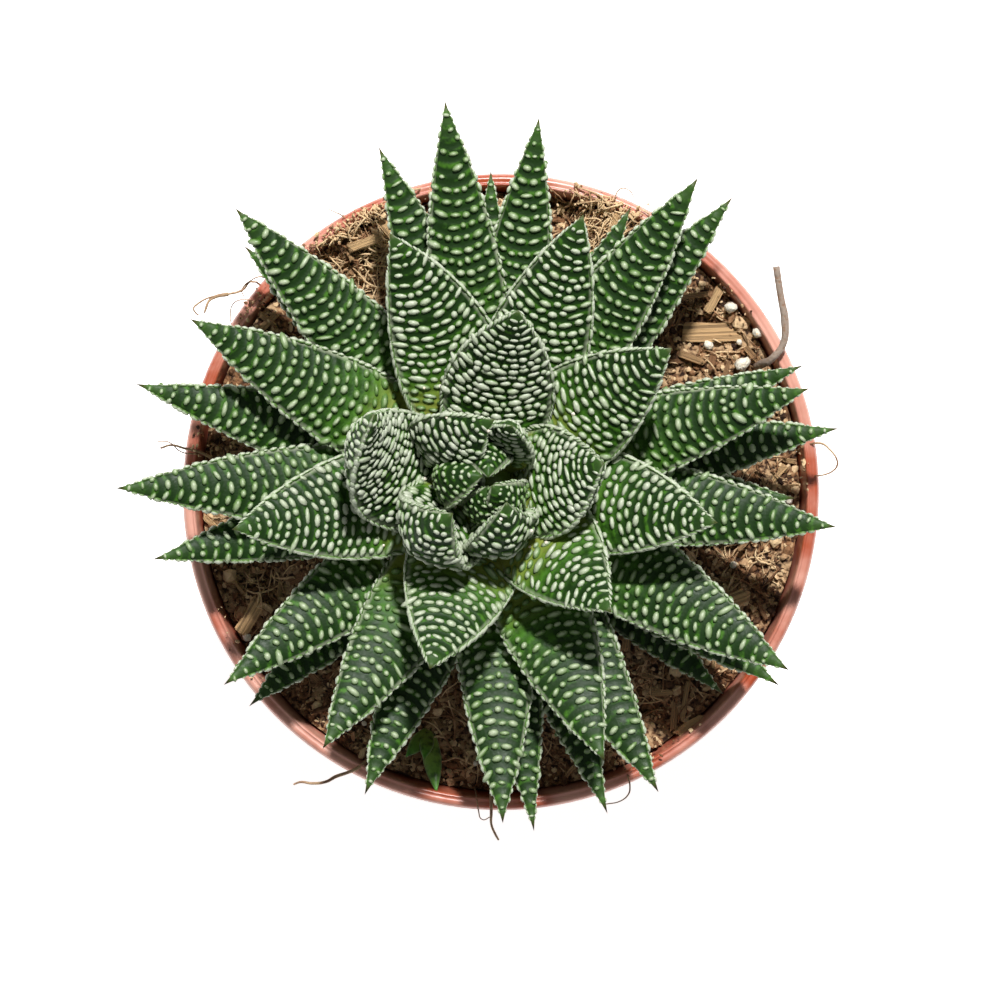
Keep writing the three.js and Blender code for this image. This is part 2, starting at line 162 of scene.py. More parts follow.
TIERS = (
    Tier("heart", 0.34, 0, 0, (1.25, 1.1), (1.25, 0.9, 0.42), 1.4, 1.0, 2.4, 0.75, 1.0, 4, HEART),
    Tier("inner", 0.26, 0, 0, (1.55, 1.25), (1.75, 0.97, 0.52), 2.0, 4.5, 2.0, 1.0, 0.85, 12, INNER),
    Tier("middle", 0.24, 0.6, 0.36, (1.8, 1.3), (1.75, 0.94, 0.56), 2.4, 10.5, 1.7, 0.85, 0.6, 30, MIDDLE),
    Tier("outer", 0.25, 0.55, 0.42, (2.15, 1.5), (1.65, 0.98, 0.68), 1.5, 17.5, 1.7, 0.62, 0.3, 38, OUTER),
    Tier("lower", 0.24, 0.5, 0.5, (2.1, 1.6), (1.5, 0.94, 0.62), 1.6, 20.0, 1.7, 0.62, 0.12, 30, LOWER),
    Tier("bottom", 0.22, 0.5, 0.5, (2.1, 1.6), (1.4, 0.9, 0.56), 1.6, 24.0, 1.7, 0.58, 0.0, 26, BOTTOM),
)

# Profiles: radius and height in millimetres. They are the solids' own, with a fine bead along the lip's inner
# edge. The heights of the stem and of the shoot's stub are above the pot's rim.
POT_PROFILE = (
    (0, 0), (12, 0), (13, 1.2), (33, 1.2), (34, 0), (36.6, 0), (37.6, 0.9), (48.2, 77.5), (49.7, 79),
    (51.4, 88.8), (52.3, 90), (52.5, 91.6), (52.15, 92.6), (51.6, 92.9), (50.95, 92.7), (50.7, 93),
    (50.35, 92.7), (50.2, 91.6), (48.8, 79.6), (47.3, 77.5), (36.7, 2.4), (0, 2.4),
)
SOIL_SIDE = ((0, 2.7), (36.1, 2.7), (47.0, 77.5), (48.5, 80), (49.4, 87))
STEM_PROFILE = (
    (0, -25), (3.5, -25), (6.5, -18), (8.2, -8), (9, 0), (8.6, 6), (7.2, 14), (5, 21), (2.6, 25), (0, 26),
)
SHOOT_STUB = ((0, -14), (2.2, -14), (2.0, -7), (0.9, -4.8), (0, -4.2))
POT_STEPS, STEM_STEPS, SHOOT_STEPS = 144, 40, 20  # round each turned shape
LIP_ROUND = 0.35 * MM  # of the pot's corners
STEM_ROUND = 1.5 * MM
DRAIN_HOLES = 6
DRAIN_RADIUS = 4 * MM
DRAIN_RING = 24 * MM
MERGE = 0.005 * MM  # vertices nearer than this are one
CREASE = math.radians(40)  # a sharper edge isn't shaded smooth

# Offset shoot, as its solid has it: place, then azimuth, reach, height of the tip above the rim and width of
# each leaf
SHOOT_PLACE = np.array([-12.0, -39.5, 0.0]) * MM
SHOOT_LEAVES = ((278, 9.8, -0.5, 3.1), (228, 5.2, 1.2, 2.6), (262, 4.2, 1.8, 2.4))
SHOOT_LEAF_BASE = 4.6  # how far under the rim its leaves start
SHOOT_ARCH = 1.6  # how far under a tip its leaf bends
SHOOT_KEEL = 0.2  # depth of a leaf's keel as a share of its width
SHOOT_RINGS, SHOOT_SIDES = 20, 16
SHOOT_SPINE = 0.5 * MM
SHOOT_FRESH = 5 * MM  # length that is yellow-green, from the base

SOIL_BELOW_RIM = 5 * MM
SOIL_LUMPS = 1.1 * MM
SOIL_FINE_LUMPS = 0.8 * MM
SOIL_FINE_LUMP = 5 * MM  # the fine lumps' size across
SOIL_RING = 0.75  # millimetres between the rings of the soil's top
SOIL_STEPS = 260
SOIL_CREASE = math.radians(60)
CLEAR_OF_STEM = 9 * MM  # the loose matter's least distance from the crown's axis
CRUMB_REACH = 49 * MM  # how far from the pot's axis the loose matter lies
CHIP_REACH = 48 * MM
GRAIN_REACH = 47 * MM
SPILL_REACH = 51.8 * MM  # the same for fibres on the high mounds, which lie over the lip
SOIL_EDGE = 49.4 * MM  # fibres lie on the soil inside it and on the lip outside it
LIP_TOP = 50.5 * MM  # spilled crumbs lie on the lip outside it and against the lip inside it
SPILLED_SIZE = 0.55  # of the crumbs on the lip, as a share of the others'
FIBRE_POINTS = 5
FIBRE_STRIDE = (0.6, 2.2)  # between a fibre's points, in millimetres as its thickness and its arch are
FIBRE_RADIUS = (0.07, 0.2)
FIBRE_ARCH = (0.2, 1.5)
LARGE_CHIP_DEPTH = 0.8 * MM
LARGE_LIFT = 0.5 * MM  # the large chips and grains lie that much higher

# What lies on the soil and on the lip, from above. Lengths are in millimetres and azimuths in degrees.
HIGH_MOUNDS = ((-21, 42.5, 3.2, 6), (18, 43.5, 3.4, 6))  # x, y, rise, spread
SOIL_MOUNDS = (*HIGH_MOUNDS, (42, -14, 1.6, 6), (-40, 26, 1.8, 5))
LIP_SPILLS = (  # azimuth, its spread, radius, crumbs
    (119, 6, 50.5, 260), (68, 5, 50.5, 170), (143, 2.4, 51.2, 40), (4, 3, 50.0, 12), (172, 2, 50.4, 14),
    (300, 5, 50.0, 16), (40, 4, 49.9, 14), (210, 6, 49.9, 14),
)
LARGE_CHIPS = (  # x, y, heading, length, width, tone
    (35.2, 26.6, 2, 9.0, 2.7, 0.8), (37.9, -17.8, 20, 6, 2.2, 0.8), (31.4, -38.8, 35, 5, 2.0, 0.9),
    (-41.5, -20.6, 60, 5.5, 2.0, 0.8), (31.6, 22.2, -20, 4.2, 1.2, 0.5), (44, 14.5, 60, 4.5, 1.6, 0.5),
    (35.2, 31.8, 62, 4.2, 1.2, 1.0), (-22.5, 41, 20, 5.2, 1.5, 1.0), (-19, 43.6, -50, 3.6, 1.4, 0.9),
    (18.6, 43.2, 70, 5, 1.3, 0.95),
)
LARGE_GRAINS = (  # x, y, size
    (37.9, 30.5, 2.2), (42.4, 26.3, 1.8), (39.9, 21.2, 2.6), (34.3, 24.3, 1.7), (42.1, 7.8, 1.7),
    (-42, -24, 1.8), (47.5, -1.3, 1.5),
)
TWIG_PATH = (  # x, y, height above the rim
    (41.6, 20.4, -8), (43.2, 21.2, -1.5), (44.5, 21.9, 1.2), (46.3, 24.2, 1.8), (46.6, 28, 2.3),
    (45.9, 32, 2.8), (45.1, 36.9, 3.6),
)
# Bright specks on the leaves near the crown, as painted glints: white grains put where points of light glint.
GLINT_SPECKS = (  # x, y
    (-12.3, 16.6), (-8.5, 11.6), (-12.1, 2.1), (-7.3, -2.4), (-18.8, -8.6), (-15, -9.1), (-21, -13.7),
    (15.3, -4.9), (4.8, -6.2), (4.6, -8.8), (7.2, -8.1), (0, -4.3), (-18.3, -10.7), (-9.7, 16.9),
    (-2, 9.5), (11.5, 12.4),
)
ROOT_PATHS = (  # radius, then x, y and height above the rim of each point
    (0.2, (
        (-38, 32, -4), (-41.2, 34.6, 0.4), (-42.5, 33.2, 1.0), (-44.8, 32.5, 1.6), (-46.5, 32.2, 2.2),
        (-48.1, 31.8, 2.6), (-49.8, 30.8, 2.8), (-50.4, 30.2, 2.7), (-50.1, 29.4, 2.2),
        (-49.6, 29.0, 2.0),
    )),
    (0.14, ((-37, 33, -4), (-39.4, 35.4, 0.6), (-41.0, 34.8, 1.4), (-42.6, 33.2, 0.6), (-42.2, 32.0, 0.3))),
    (0.13, ((-38, 30, -4), (-42.8, 31.6, 0.5), (-44.1, 30.8, 1.0), (-44.5, 28.9, 0.9), (-44.4, 27.6, 0.3))),
    (0.3, (
        (-44.8, 32.5, 1.6), (-47.2, 31.9, 2.2), (-48.0, 31.2, 2.4), (-48.4, 30.2, 2.3),
        (-48.7, 29.4, 2.0),
    )),
    (0.28, ((-46, 4.5, -5), (-49.8, 6.6, 0.2), (-52.1, 7.2, 0.6), (-54.2, 7.7, 0.8), (-56.0, 7.2, 0.7))),
    (0.13, ((-49.8, 6.2, 0.2), (-52.6, 6.6, 0.8), (-54.6, 8.2, 1.2), (-56.4, 8.3, 1.4))),
    (0.34, (
        (-20.5, -42.5, -5), (-23.9, -45.6, 0.3), (-25.4, -46.2, 0.6), (-27.2, -46.8, 0.9),
        (-28.7, -47.6, 1.1), (-31.0, -47.9, 1.0), (-33.0, -47.7, 0.7), (-34.1, -48.1, 0.4),
    )),
    (0.13, (
        (-4.4, -48.6, -5), (-3.9, -51.0, 0.3), (-3.7, -52.4, 0.4), (-3.1, -53.9, 0.0), (-1.7, -53.4, 0.5),
    )),
    (0.3, (
        (-1.8, -48.4, -5), (-1.6, -50.8, 0.4), (-1.6, -52.9, 0.5), (-1.6, -54.6, 0.3),
        (-1.0, -56.2, -0.2), (-0.4, -57.3, -0.8),
    )),
    (0.17, (
        (20.0, -44.5, -5), (21.0, -47.2, 0.4), (21.2, -48.4, 0.8), (21.0, -49.6, 0.9), (19.7, -50.8, 0.6),
        (17.1, -51.4, 0.0),
    )),
    (0.21, (
        (49.0, 6.8, -5), (51.4, 8.0, 0.3), (52.9, 7.9, 0.8), (54.0, 7.0, 1.0), (55.1, 5.6, 0.9),
        (55.3, 4.4, 0.7), (54.5, 3.4, 0.4), (53.4, 2.9, 0.1), (51.6, 2.6, 0.2),
    )),
    (0.11, ((-24.5, 43.5, -3), (-26.2, 45.5, 0.5), (-27.3, 46.0, 1.2), (-28.4, 46.5, 2.0))),
    (0.12, ((17.0, 45.0, -3), (18.6, 48.0, 0.6), (19.6, 49.8, 1.2), (21.0, 49.6, 1.6), (21.9, 48.4, 1.2))),
)

# The stage, in metres
FLOOR_SIZE = 40
DAYLIGHT = "f6f8ff"
DAYLIGHT_STRENGTH = 0.22
LIGHTS = (  # name, place, size, power in watts
    ("key", (0.1, 0.62, 1.1), 0.07, 20.6),
    ("fill", (-0.9, -0.7, 0.8), 0.8, 1.0),
)
CAMERA_PLACE = (-0.16 * MM, -1.32 * MM)  # over the pot's middle, as the photograph is framed
CAMERA_LENS, CAMERA_SENSOR = 175, 36  # in millimetres
CAMERA_CLIP = 0.01


def linear(hex_colour):
    """An sRGB hex colour as linear red, green, blue and alpha."""
    parts = [int(hex_colour[i : i + 2], 16) / 255 for i in (0, 2, 4)]
    return [c / 12.92 if c <= 0.04045 else ((c + 0.055) / 1.055) ** 2.4 for c in parts] + [1.0]


def colour(name, description, hex_colour):
    """A colour that a user can change."""
    return FloatVectorProperty(
        name=name, description=description, default=linear(hex_colour), size=4, subtype="COLOR", min=0, max=1
    )


def length(name, description, default):
    """A length that a user can change."""
    return FloatProperty(name=name, description=description, default=default, unit="LENGTH", precision=4)


class HaworthiaSizes(bpy.types.PropertyGroup):
    """Sizes of the plant's fine detail"""

    bead_share: FloatProperty(name="Bead size", description="Of a bead, as a share of its own", default=1.0)
    spine: length("Spine", "Length of the thorn at a leaf's tip", 0.8 * MM)
    tooth: length("Tooth", "How far the small teeth stand out of a leaf's edge", 0.42 * MM)
    tooth_pitch: length("Tooth pitch", "Between teeth along a leaf's edge", 1.25 * MM)
    soil_crumb: length("Soil crumb", "Size of a middling crumb of soil", 0.85 * MM)
    twig_radius: length("Twig radius", "Of the dry twig on the pot's lip", 0.62 * MM)
    view_height: length("View height", "Of the camera above the pot's rim", 0.8)


class HaworthiaColours(bpy.types.PropertyGroup):
    """Colours of the finishes"""

    pot: colour("Pot", "Terracotta-coloured plastic", "a64420")
    # The pale pot colour is a painted sheen on the lip, and also the colour of the scuffs.
    pot_sheen_and_wear: colour("Pot, pale", "Painted sheen on the lip, and scuffs", "e0ab98")
    leaf: colour("Leaf", "Middle of a grown leaf", "163009")
    # The fresh leaf colour is real near the base and on young leaves, and is also used as a painted highlight
    # on the ridges of the bead rows.
    leaf_fresh_and_highlight: colour("Leaf, fresh", "Near the base and on young leaves", "406e1a")
    leaf_sheath: colour("Leaf, sheath", "Where a leaf meets the crown", "828c3a")
    leaf_tip: colour("Leaf, tip", "The bare tip", "4c7030")
    spine: colour("Spine", "The thorn at the tip", "5d4a30")
    edge: colour("Leaf edge", "The horny line along the edge", "aeb59a")
    # The bead tops take these colours and are painted whitest on top as a highlight, over the horn's own
    # white.
    bead: colour("Bead", "Top of a white bead", "bcc1ad")
    bead_green: colour("Bead, green", "Foot of a bead", "5b7c3d")
    bead_pale: colour("Old bead", "Top of the beads on the oldest leaves", "90a96c")
    stem: colour("Stem", "The crown between the leaves", "8fa04a")
    shoot: colour("Shoot", "The young offset", "4d8c31")
    peat_dark: colour("Peat, dark", "Damp peat in the hollows", "2a170c")
    peat: colour("Peat", "Middling peat", "8a6140")
    peat_tan: colour("Peat, dry", "Dry peat and coir on top", "dcbd92")
    bark: colour("Bark", "Chips of bark and wood", "d9b280")
    perlite: colour("Perlite", "Grains of perlite", "efe7d6")
    twig: colour("Twig", "Dry grey bark", "988779")
    root: colour("Root", "Dry roots and hairs", "8a684e")
    floor: colour("Floor", "Pale light table that the pot stands on", "f4f4f2")


# The kinds of shader node in use: their type, the output that is read, their inputs in the order in which
# they are given, and their usual settings. The inputs of a sum and of a colour mix go by number.
NODE_KINDS = {
    "place": ("ShaderNodeTexCoord", "Object", (), {}),
    "height": ("ShaderNodeSeparateXYZ", "Z", ("Vector",), {}),
    "carried": ("ShaderNodeAttribute", "Fac", (), {}),
    "noise": ("ShaderNodeTexNoise", "Fac", ("Vector", "Scale", "Detail", "Roughness"), {}),
    "lanes": ("ShaderNodeTexNoise", "Fac", ("W", "Scale", "Detail", "Roughness"), {"noise_dimensions": "1D"}),
    "ease": (
        "ShaderNodeMapRange", "Result", ("Value", "From Min", "From Max", "To Min", "To Max"),
        {"interpolation_type": "SMOOTHSTEP"},
    ),
    "add": ("ShaderNodeMath", 0, (0, 1), {"operation": "ADD"}),
    "multiply": ("ShaderNodeMath", 0, (0, 1), {"operation": "MULTIPLY"}),
    "multiply_add": ("ShaderNodeMath", 0, (0, 1, 2), {"operation": "MULTIPLY_ADD"}),
    "larger": ("ShaderNodeMath", 0, (0, 1), {"operation": "MAXIMUM"}),
    "cosine": ("ShaderNodeMath", 0, (0,), {"operation": "COSINE"}),
    "mix": ("ShaderNodeMix", 2, (0, 6, 7), {"data_type": "RGBA"}),
    "bump": ("ShaderNodeBump", "Normal", ("Height", "Distance", "Normal"), {}),
}
WAX_IOR = 1.45  # of plant wax, and near enough that of dry matter


def feed(tree, node, inputs):
    """Gives a node its inputs, which are values, or other nodes' outputs to link."""
    for name, value in inputs.items():
        if isinstance(value, bpy.types.NodeSocket):
            tree.links.new(value, node.inputs[name])
        else:
            node.inputs[name].default_value = value


def add_node(tree, kind, *inputs, **settings):
    """Adds a shader node with its inputs and settings, and gives the output that is read."""
    node_type, output, names, usual = NODE_KINDS[kind]
    node = tree.nodes.new(node_type)
    for name, value in (usual | settings).items():
        setattr(node, name, value)
    feed(tree, node, dict(zip(names, inputs)))
    return node.outputs[output]


def dressed(material, **inputs):
    """The material with its shader's inputs set or linked. They are named with underscores for spaces."""
    tree = material.node_tree
    feed(tree, tree.nodes["Principled BSDF"], {name.replace("_", " "): inputs[name] for name in inputs})
    return material


def new_material(name, **values):
    """A material and its tree, with what is the same all over it set on its shader."""
    material = bpy.data.materials.new(name)
    material.use_nodes = True
    return dressed(material, **({"IOR": WAX_IOR} | values)), material.node_tree


def pot_plastic(colours):
    """Polypropylene, injection-moulded: a soft gloss, a faint orange peel and fine scuffs, with a painted
    sheen: pale pink patches on and just under the lip where the lamp's broad highlight falls."""
    material, tree = new_material("Moulded polypropylene", IOR=1.49, Specular_IOR_Level=0.7)
    place = add_node(tree, "place")
    patches = add_node(tree, "noise", place, 1 / (12 * MM), 4)
    peel = add_node(tree, "noise", place, 1 / (0.9 * MM), 1)
    scuffs = add_node(tree, "noise", place, 1 / (2.5 * MM), 6, 0.7)
    height = add_node(tree, "height", place)
    reach = add_node(tree, "ease", height, 0.9 * POT_HEIGHT, 0.985 * POT_HEIGHT)
    # Painted sheen: pale pink patches on the lip's top stand in for the lamp's broad highlight; the scuffs
    # below are real wear.
    sheen_patches = add_node(tree, "ease", patches, 0.3, 0.62, 0, 0.72)
    painted_sheen = add_node(tree, "multiply", reach, sheen_patches)
    worn = add_node(tree, "ease", scuffs, 0.42, 0.75, 0, 0.05)
    sheen_and_scuffs = add_node(tree, "larger", painted_sheen, worn)
    base = add_node(tree, "mix", sheen_and_scuffs, colours.pot, colours.pot_sheen_and_wear)
    dull = add_node(tree, "ease", patches, 0.3, 0.8, 0.3, 0.46)
    relief = add_node(tree, "bump", peel, 0.02 * MM)
    return dressed(material, Base_Color=base, Roughness=dull, Normal=relief)


def leaf_skin(colours):
    """Leaf skin with a thin wax: satin, deep green, fresh at the base, with a paler horny edge, and a painted
    highlight: paler green patches along the ridges of the bead rows.
    """
    material, tree = new_material("Waxed succulent skin", Specular_IOR_Level=0.28)
    along, row, fresh, edge, spine = (
        add_node(tree, "carried", attribute_name=name) for name in ("along", "row", "fresh", "edge", "spine")
    )
    place = add_node(tree, "place")
    patches = add_node(tree, "noise", place, 1 / (1.5 * MM), 4, 0.6)
    grain = add_node(tree, "noise", place, 1 / (0.5 * MM), 2)
    wave = add_node(tree, "cosine", add_node(tree, "multiply", row, 2 * math.pi))
    # Painted highlight: the ridges of the bead rows are coloured paler where light catches them, broken into
    # patches.
    ridge = add_node(tree, "ease", wave, -0.6, 1.2)
    blotches = add_node(tree, "ease", patches, 0.4, 0.64)
    painted_ridge_highlight = add_node(tree, "multiply", ridge, blotches)
    speckles = add_node(tree, "ease", add_node(tree, "multiply", fresh, patches), 0.12, 0.5)
    sheath = add_node(tree, "ease", fresh, 0.62, 1.0)
    tip = add_node(tree, "ease", along, 0.88, 0.99, 0, 0.42)
    base = colours.leaf
    for share, layer in (
        (painted_ridge_highlight, colours.leaf_fresh_and_highlight), (speckles, colours.leaf_fresh_and_highlight), (sheath, colours.leaf_sheath),
        (tip, colours.leaf_tip), (edge, colours.edge), (spine, colours.spine),
    ):
        base = add_node(tree, "mix", share, base, layer)
    dull = add_node(tree, "ease", patches, 0.2, 0.8, 0.42, 0.6)
    ridges = add_node(tree, "bump", wave, 0.04 * MM)
    relief = add_node(tree, "bump", grain, 0.06 * MM, ridges)
    return dressed(material, Base_Color=base, Roughness=dull, Normal=relief)


def bead_skin(colours):
    """The beads' horny skin: satin, a white horn painted whitest on top as a highlight, and green where it
    meets the leaf.
    """
    material, tree = new_material("Horny white bead", Roughness=0.38)
    rise = add_node(tree, "carried", attribute_name="rise")
    white = add_node(tree, "carried", attribute_name="white")
    specks = add_node(tree, "noise", add_node(tree, "place"), 1 / (0.6 * MM), 2)
    # The top of each bead is painted whiter than its sides: a highlight over the horn's own white.
    foot = add_node(tree, "multiply_add", white, -1.1, 0.95)
    white_top_and_highlight = add_node(tree, "ease", rise, foot, add_node(tree, "add", foot, 0.6))
    worn = add_node(tree, "ease", specks, 0.25, 0.7, 0.72, 1.0)
    share = add_node(tree, "multiply", white_top_and_highlight, worn)
    horn = add_node(tree, "mix", white, colours.bead_pale, colours.bead)
    base = add_node(tree, "mix", share, colours.bead_green, horn)
    return dressed(material, Base_Color=base, Normal=add_node(tree, "bump", specks, 0.04 * MM))


def crown_skin(colours):
    """Young stem tissue between the leaves: smooth, damp and yellow-green."""
    material, tree = new_material("Yellow-green crown tissue", Roughness=0.42)
    patches = add_node(tree, "noise", add_node(tree, "place"), 1 / (3 * MM), 3)
    base = add_node(tree, "mix", patches, colours.stem, colours.leaf_fresh_and_highlight)
    return dressed(material, Base_Color=base, Normal=add_node(tree, "bump", patches, 0.2 * MM))


def shoot_skin(colours):
    """The offset's soft young skin, glossier and brighter than a grown leaf's."""
    material, tree = new_material("Young shoot skin", Roughness=0.35)
    along, edge, spine = (
        add_node(tree, "carried", attribute_name=name) for name in ("along", "edge", "spine")
    )
    patches = add_node(tree, "noise", add_node(tree, "place"), 1 / (1.5 * MM), 3)
    spots = add_node(tree, "ease", patches, 0.42, 0.7, 0, 0.8)
    thin = add_node(tree, "multiply", edge, 0.6)
    base = colours.stem
    for share, layer in (
        (along, colours.shoot), (spots, colours.leaf), (thin, colours.edge), (spine, colours.spine),
    ):
        base = add_node(tree, "mix", share, base, layer)
    return dressed(material, Base_Color=base, Normal=add_node(tree, "bump", patches, 0.1 * MM))


def peat(colours):
    """Milled peat and coir: matt, nearly black in its damp hollows and tan where it has dried on top."""
    material, tree = new_material("Milled peat", Roughness=0.95)
    place = add_node(tree, "place")
    lumps = add_node(tree, "noise", place, 1 / (4.5 * MM), 6)
    grains = add_node(tree, "noise", place, 1 / (0.9 * MM), 5)
    damp = add_node(tree, "ease", grains, 0.35, 0.62)
    low = add_node(tree, "mix", damp, colours.peat_dark, colours.peat)
    dried = add_node(tree, "ease", add_node(tree, "multiply", lumps, grains), 0.22, 0.36, 0, 0.5)
    base = add_node(tree, "mix", dried, low, colours.peat_tan)
    return dressed(material, Base_Color=base, Normal=add_node(tree, "bump", grains, 0.7 * MM))


def crumb_matter(colours):
    """Loose crumbs and fibres of the potting mix: matt, each crumb of its own brown."""
    material, tree = new_material("Dry peat and coir", Roughness=0.9)
    grains = add_node(tree, "noise", add_node(tree, "place"), 1 / (0.6 * MM), 4)
    tone = add_node(tree, "carried", attribute_name="tone")
    own = add_node(tree, "multiply_add", grains, 0.5, tone)
    dark = add_node(tree, "ease", own, 0.2, 0.7)
    tan = add_node(tree, "ease", own, 0.58, 1.15)
    low = add_node(tree, "mix", dark, colours.peat_dark, colours.peat)
    base = add_node(tree, "mix", tan, low, colours.peat_tan)
    return dressed(material, Base_Color=base, Normal=add_node(tree, "bump", grains, 0.3 * MM))


def bark_matter(colours):
    """Chips of pine bark and wood: matt, streaked dark and pale along the grain."""
    material, tree = new_material("Chipped pine bark", Roughness=0.85)
    tone = add_node(tree, "carried", attribute_name="tone")
    across = add_node(tree, "carried", attribute_name="across")
    lane = add_node(tree, "multiply_add", tone, 41.0, across)  # puts each chip's streaks elsewhere
    grain = add_node(tree, "lanes", lane, 4.0, 5, 0.7)
    own = add_node(tree, "mix", tone, colours.peat, colours.bark)
    streaks = add_node(tree, "ease", grain, 0.3, 0.62, 0.6, 0.0)
    base = add_node(tree, "mix", streaks, own, colours.peat_dark)
    return dressed(material, Base_Color=base, Normal=add_node(tree, "bump", grain, 0.4 * MM))


def patchy_material(name, roughness, size, detail, shares, pair, relief):
    """A material whose pair of colours and relief follow one pattern of patches, eased between the shares."""
    material, tree = new_material(name, Roughness=roughness)
    patches = add_node(tree, "noise", add_node(tree, "place"), 1 / size, detail)
    base = add_node(tree, "mix", add_node(tree, "ease", patches, *shares), *pair)
    return dressed(material, Base_Color=base, Normal=add_node(tree, "bump", patches, relief))


def perlite_matter(colours):
    """Perlite, a glass foam puffed up by heat: white, matt and pitted, with peat in its pits."""
    pair = colours.perlite, colours.peat_tan
    return patchy_material("Expanded perlite", 0.8, 0.5 * MM, 4, (0.3, 0.55, 0.5, 0.0), pair, 0.3 * MM)


def dry_bark(colours):
    """Dead grey bark of a thin twig: matt, with fine dark cracks."""
    pair = colours.root, colours.twig
    return patchy_material("Weathered grey bark", 0.85, 0.7 * MM, 5, (0.3, 0.52), pair, 0.25 * MM)


def dry_root(colours):
    """Dried roots and hairs: thin, brown and slightly glossy."""
    pair = colours.root, colours.peat_tan
    return patchy_material("Dried root", 0.6, 1.4 * MM, 3, (0.35, 0.65, 0, 0.45), pair, 0.1 * MM)


def pale_board(colours):
    """Matt acrylic sheet of a light table: near-white and even, so that shadows on it stay pale."""
    material, tree = new_material(
        "Matt lit acrylic", Roughness=0.9, Base_Color=colours.floor, Emission_Color=colours.floor,
        Emission_Strength=0.92,
    )
    tooth = add_node(tree, "noise", add_node(tree, "place"), 1 / (1.5 * MM), 2)
    return dressed(material, Normal=add_node(tree, "bump", tooth, 0.02 * MM))


def deselect():
    """Nothing selected, so that an operator acts on the new piece alone."""
    bpy.ops.object.select_all(action="DESELECT")


def make_active(piece):
    """The piece alone selected."""
    deselect()
    piece.select_set(True)
    bpy.context.view_layer.objects.active = piece


def apply_modifier(piece, kind, **settings):
    """Adds a modifier with its settings and applies it."""
    make_active(piece)
    modifier = piece.modifiers.new(kind.title(), kind)
    for name, value in settings.items():
        setattr(modifier, name, value)
    bpy.ops.object.modifier_apply(modifier=modifier.name)


@contextmanager
def editing():
    """Edit mode with all of the piece selected, and object mode afterwards."""
    bpy.ops.object.mode_set(mode="EDIT")
    bpy.ops.mesh.select_all(action="SELECT")
    yield
    bpy.ops.object.mode_set(mode="OBJECT")


def finish_piece(piece, name, material=None, node=None):
    """Names the finished piece, gives it its finish, rides it on the body and has it stand for its node."""
    piece.name = name
    piece.data.name = name
    if material:
        piece.data.materials.append(material)
    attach(piece, BODY)
    if node:
        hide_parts(node)


def vertices_of(mesh):
    """The mesh's vertices as rows of x, y and z."""
    points = np.empty(3 * len(mesh.vertices))
    mesh.vertices.foreach_get("co", points)
    return points.reshape(-1, 3)


def move_vertices(mesh, points):
    """Puts the mesh's vertices at these points."""
    mesh.vertices.foreach_set("co", np.asarray(points).ravel())
    mesh.update()


def carry(mesh, name, values):
    """Stores one value for each vertex, which a material can read."""
    attribute = mesh.attributes.new(name, "FLOAT", "POINT")
    attribute.data.foreach_set("value", np.asarray(values, dtype=np.float32))


def metres(profile, foot=0.0):
    """The profile of radius and height in metres, raised to the foot's height."""
    return [(radius * MM, foot + height * MM) for radius, height in profile]


def turned(profile, steps):
    """A closed shape from its profile of radius and height: a vertex is extruded along it, then spun."""
    deselect()
    bpy.ops.mesh.primitive_plane_add(size=MM)
    piece = bpy.context.object
    with editing():
        bpy.ops.mesh.merge(type="CENTER")
        bpy.ops.transform.translate(value=(profile[0][0], 0, profile[0][1]))
        for here, there in zip(profile, profile[1:]):
            step = (there[0] - here[0], 0, there[1] - here[1])
            bpy.ops.mesh.extrude_region_move(TRANSFORM_OT_translate={"value": step})
        bpy.ops.mesh.select_all(action="SELECT")
        bpy.ops.mesh.spin(steps=steps, angle=2 * math.pi, center=(0, 0, 0), axis=(0, 0, 1))
        bpy.ops.mesh.select_all(action="SELECT")
        bpy.ops.mesh.remove_doubles(threshold=MERGE)
        bpy.ops.mesh.normals_make_consistent(inside=False)
    bpy.ops.object.shade_smooth_by_angle(angle=CREASE)
    return piece


def rounded(profile, radius, points=3):
    """The profile with each corner between its ends rounded by a short arc."""
    made = [profile[0]]
    for before, corner, after in zip(profile, profile[1:], profile[2:]):
        corner, back, ahead = (Vector(p) for p in (corner, before, after))
        back = (back - corner) * min(0.45, radius / (back - corner).length)
        ahead = (ahead - corner) * min(0.45, radius / (ahead - corner).length)
        for i in range(points + 1):
            t = i / points
            made.append(tuple(corner + back * (1 - t) ** 2 + ahead * t**2))
    return made + [profile[-1]]


class Shape(NamedTuple):
    """A small shape that is copied many times: its points and its triangles."""

    points: np.ndarray
    triangles: np.ndarray


def shape_of(piece):
    """Takes the piece's mesh as triangles, and removes the piece."""
    apply_modifier(piece, "TRIANGULATE")
    mesh = piece.data
    corners = np.empty(3 * len(mesh.polygons), dtype=np.int32)
    mesh.polygons.foreach_get("vertices", corners)
    made = Shape(vertices_of(mesh), corners.reshape(-1, 3))
    bpy.data.objects.remove(piece)
    return made


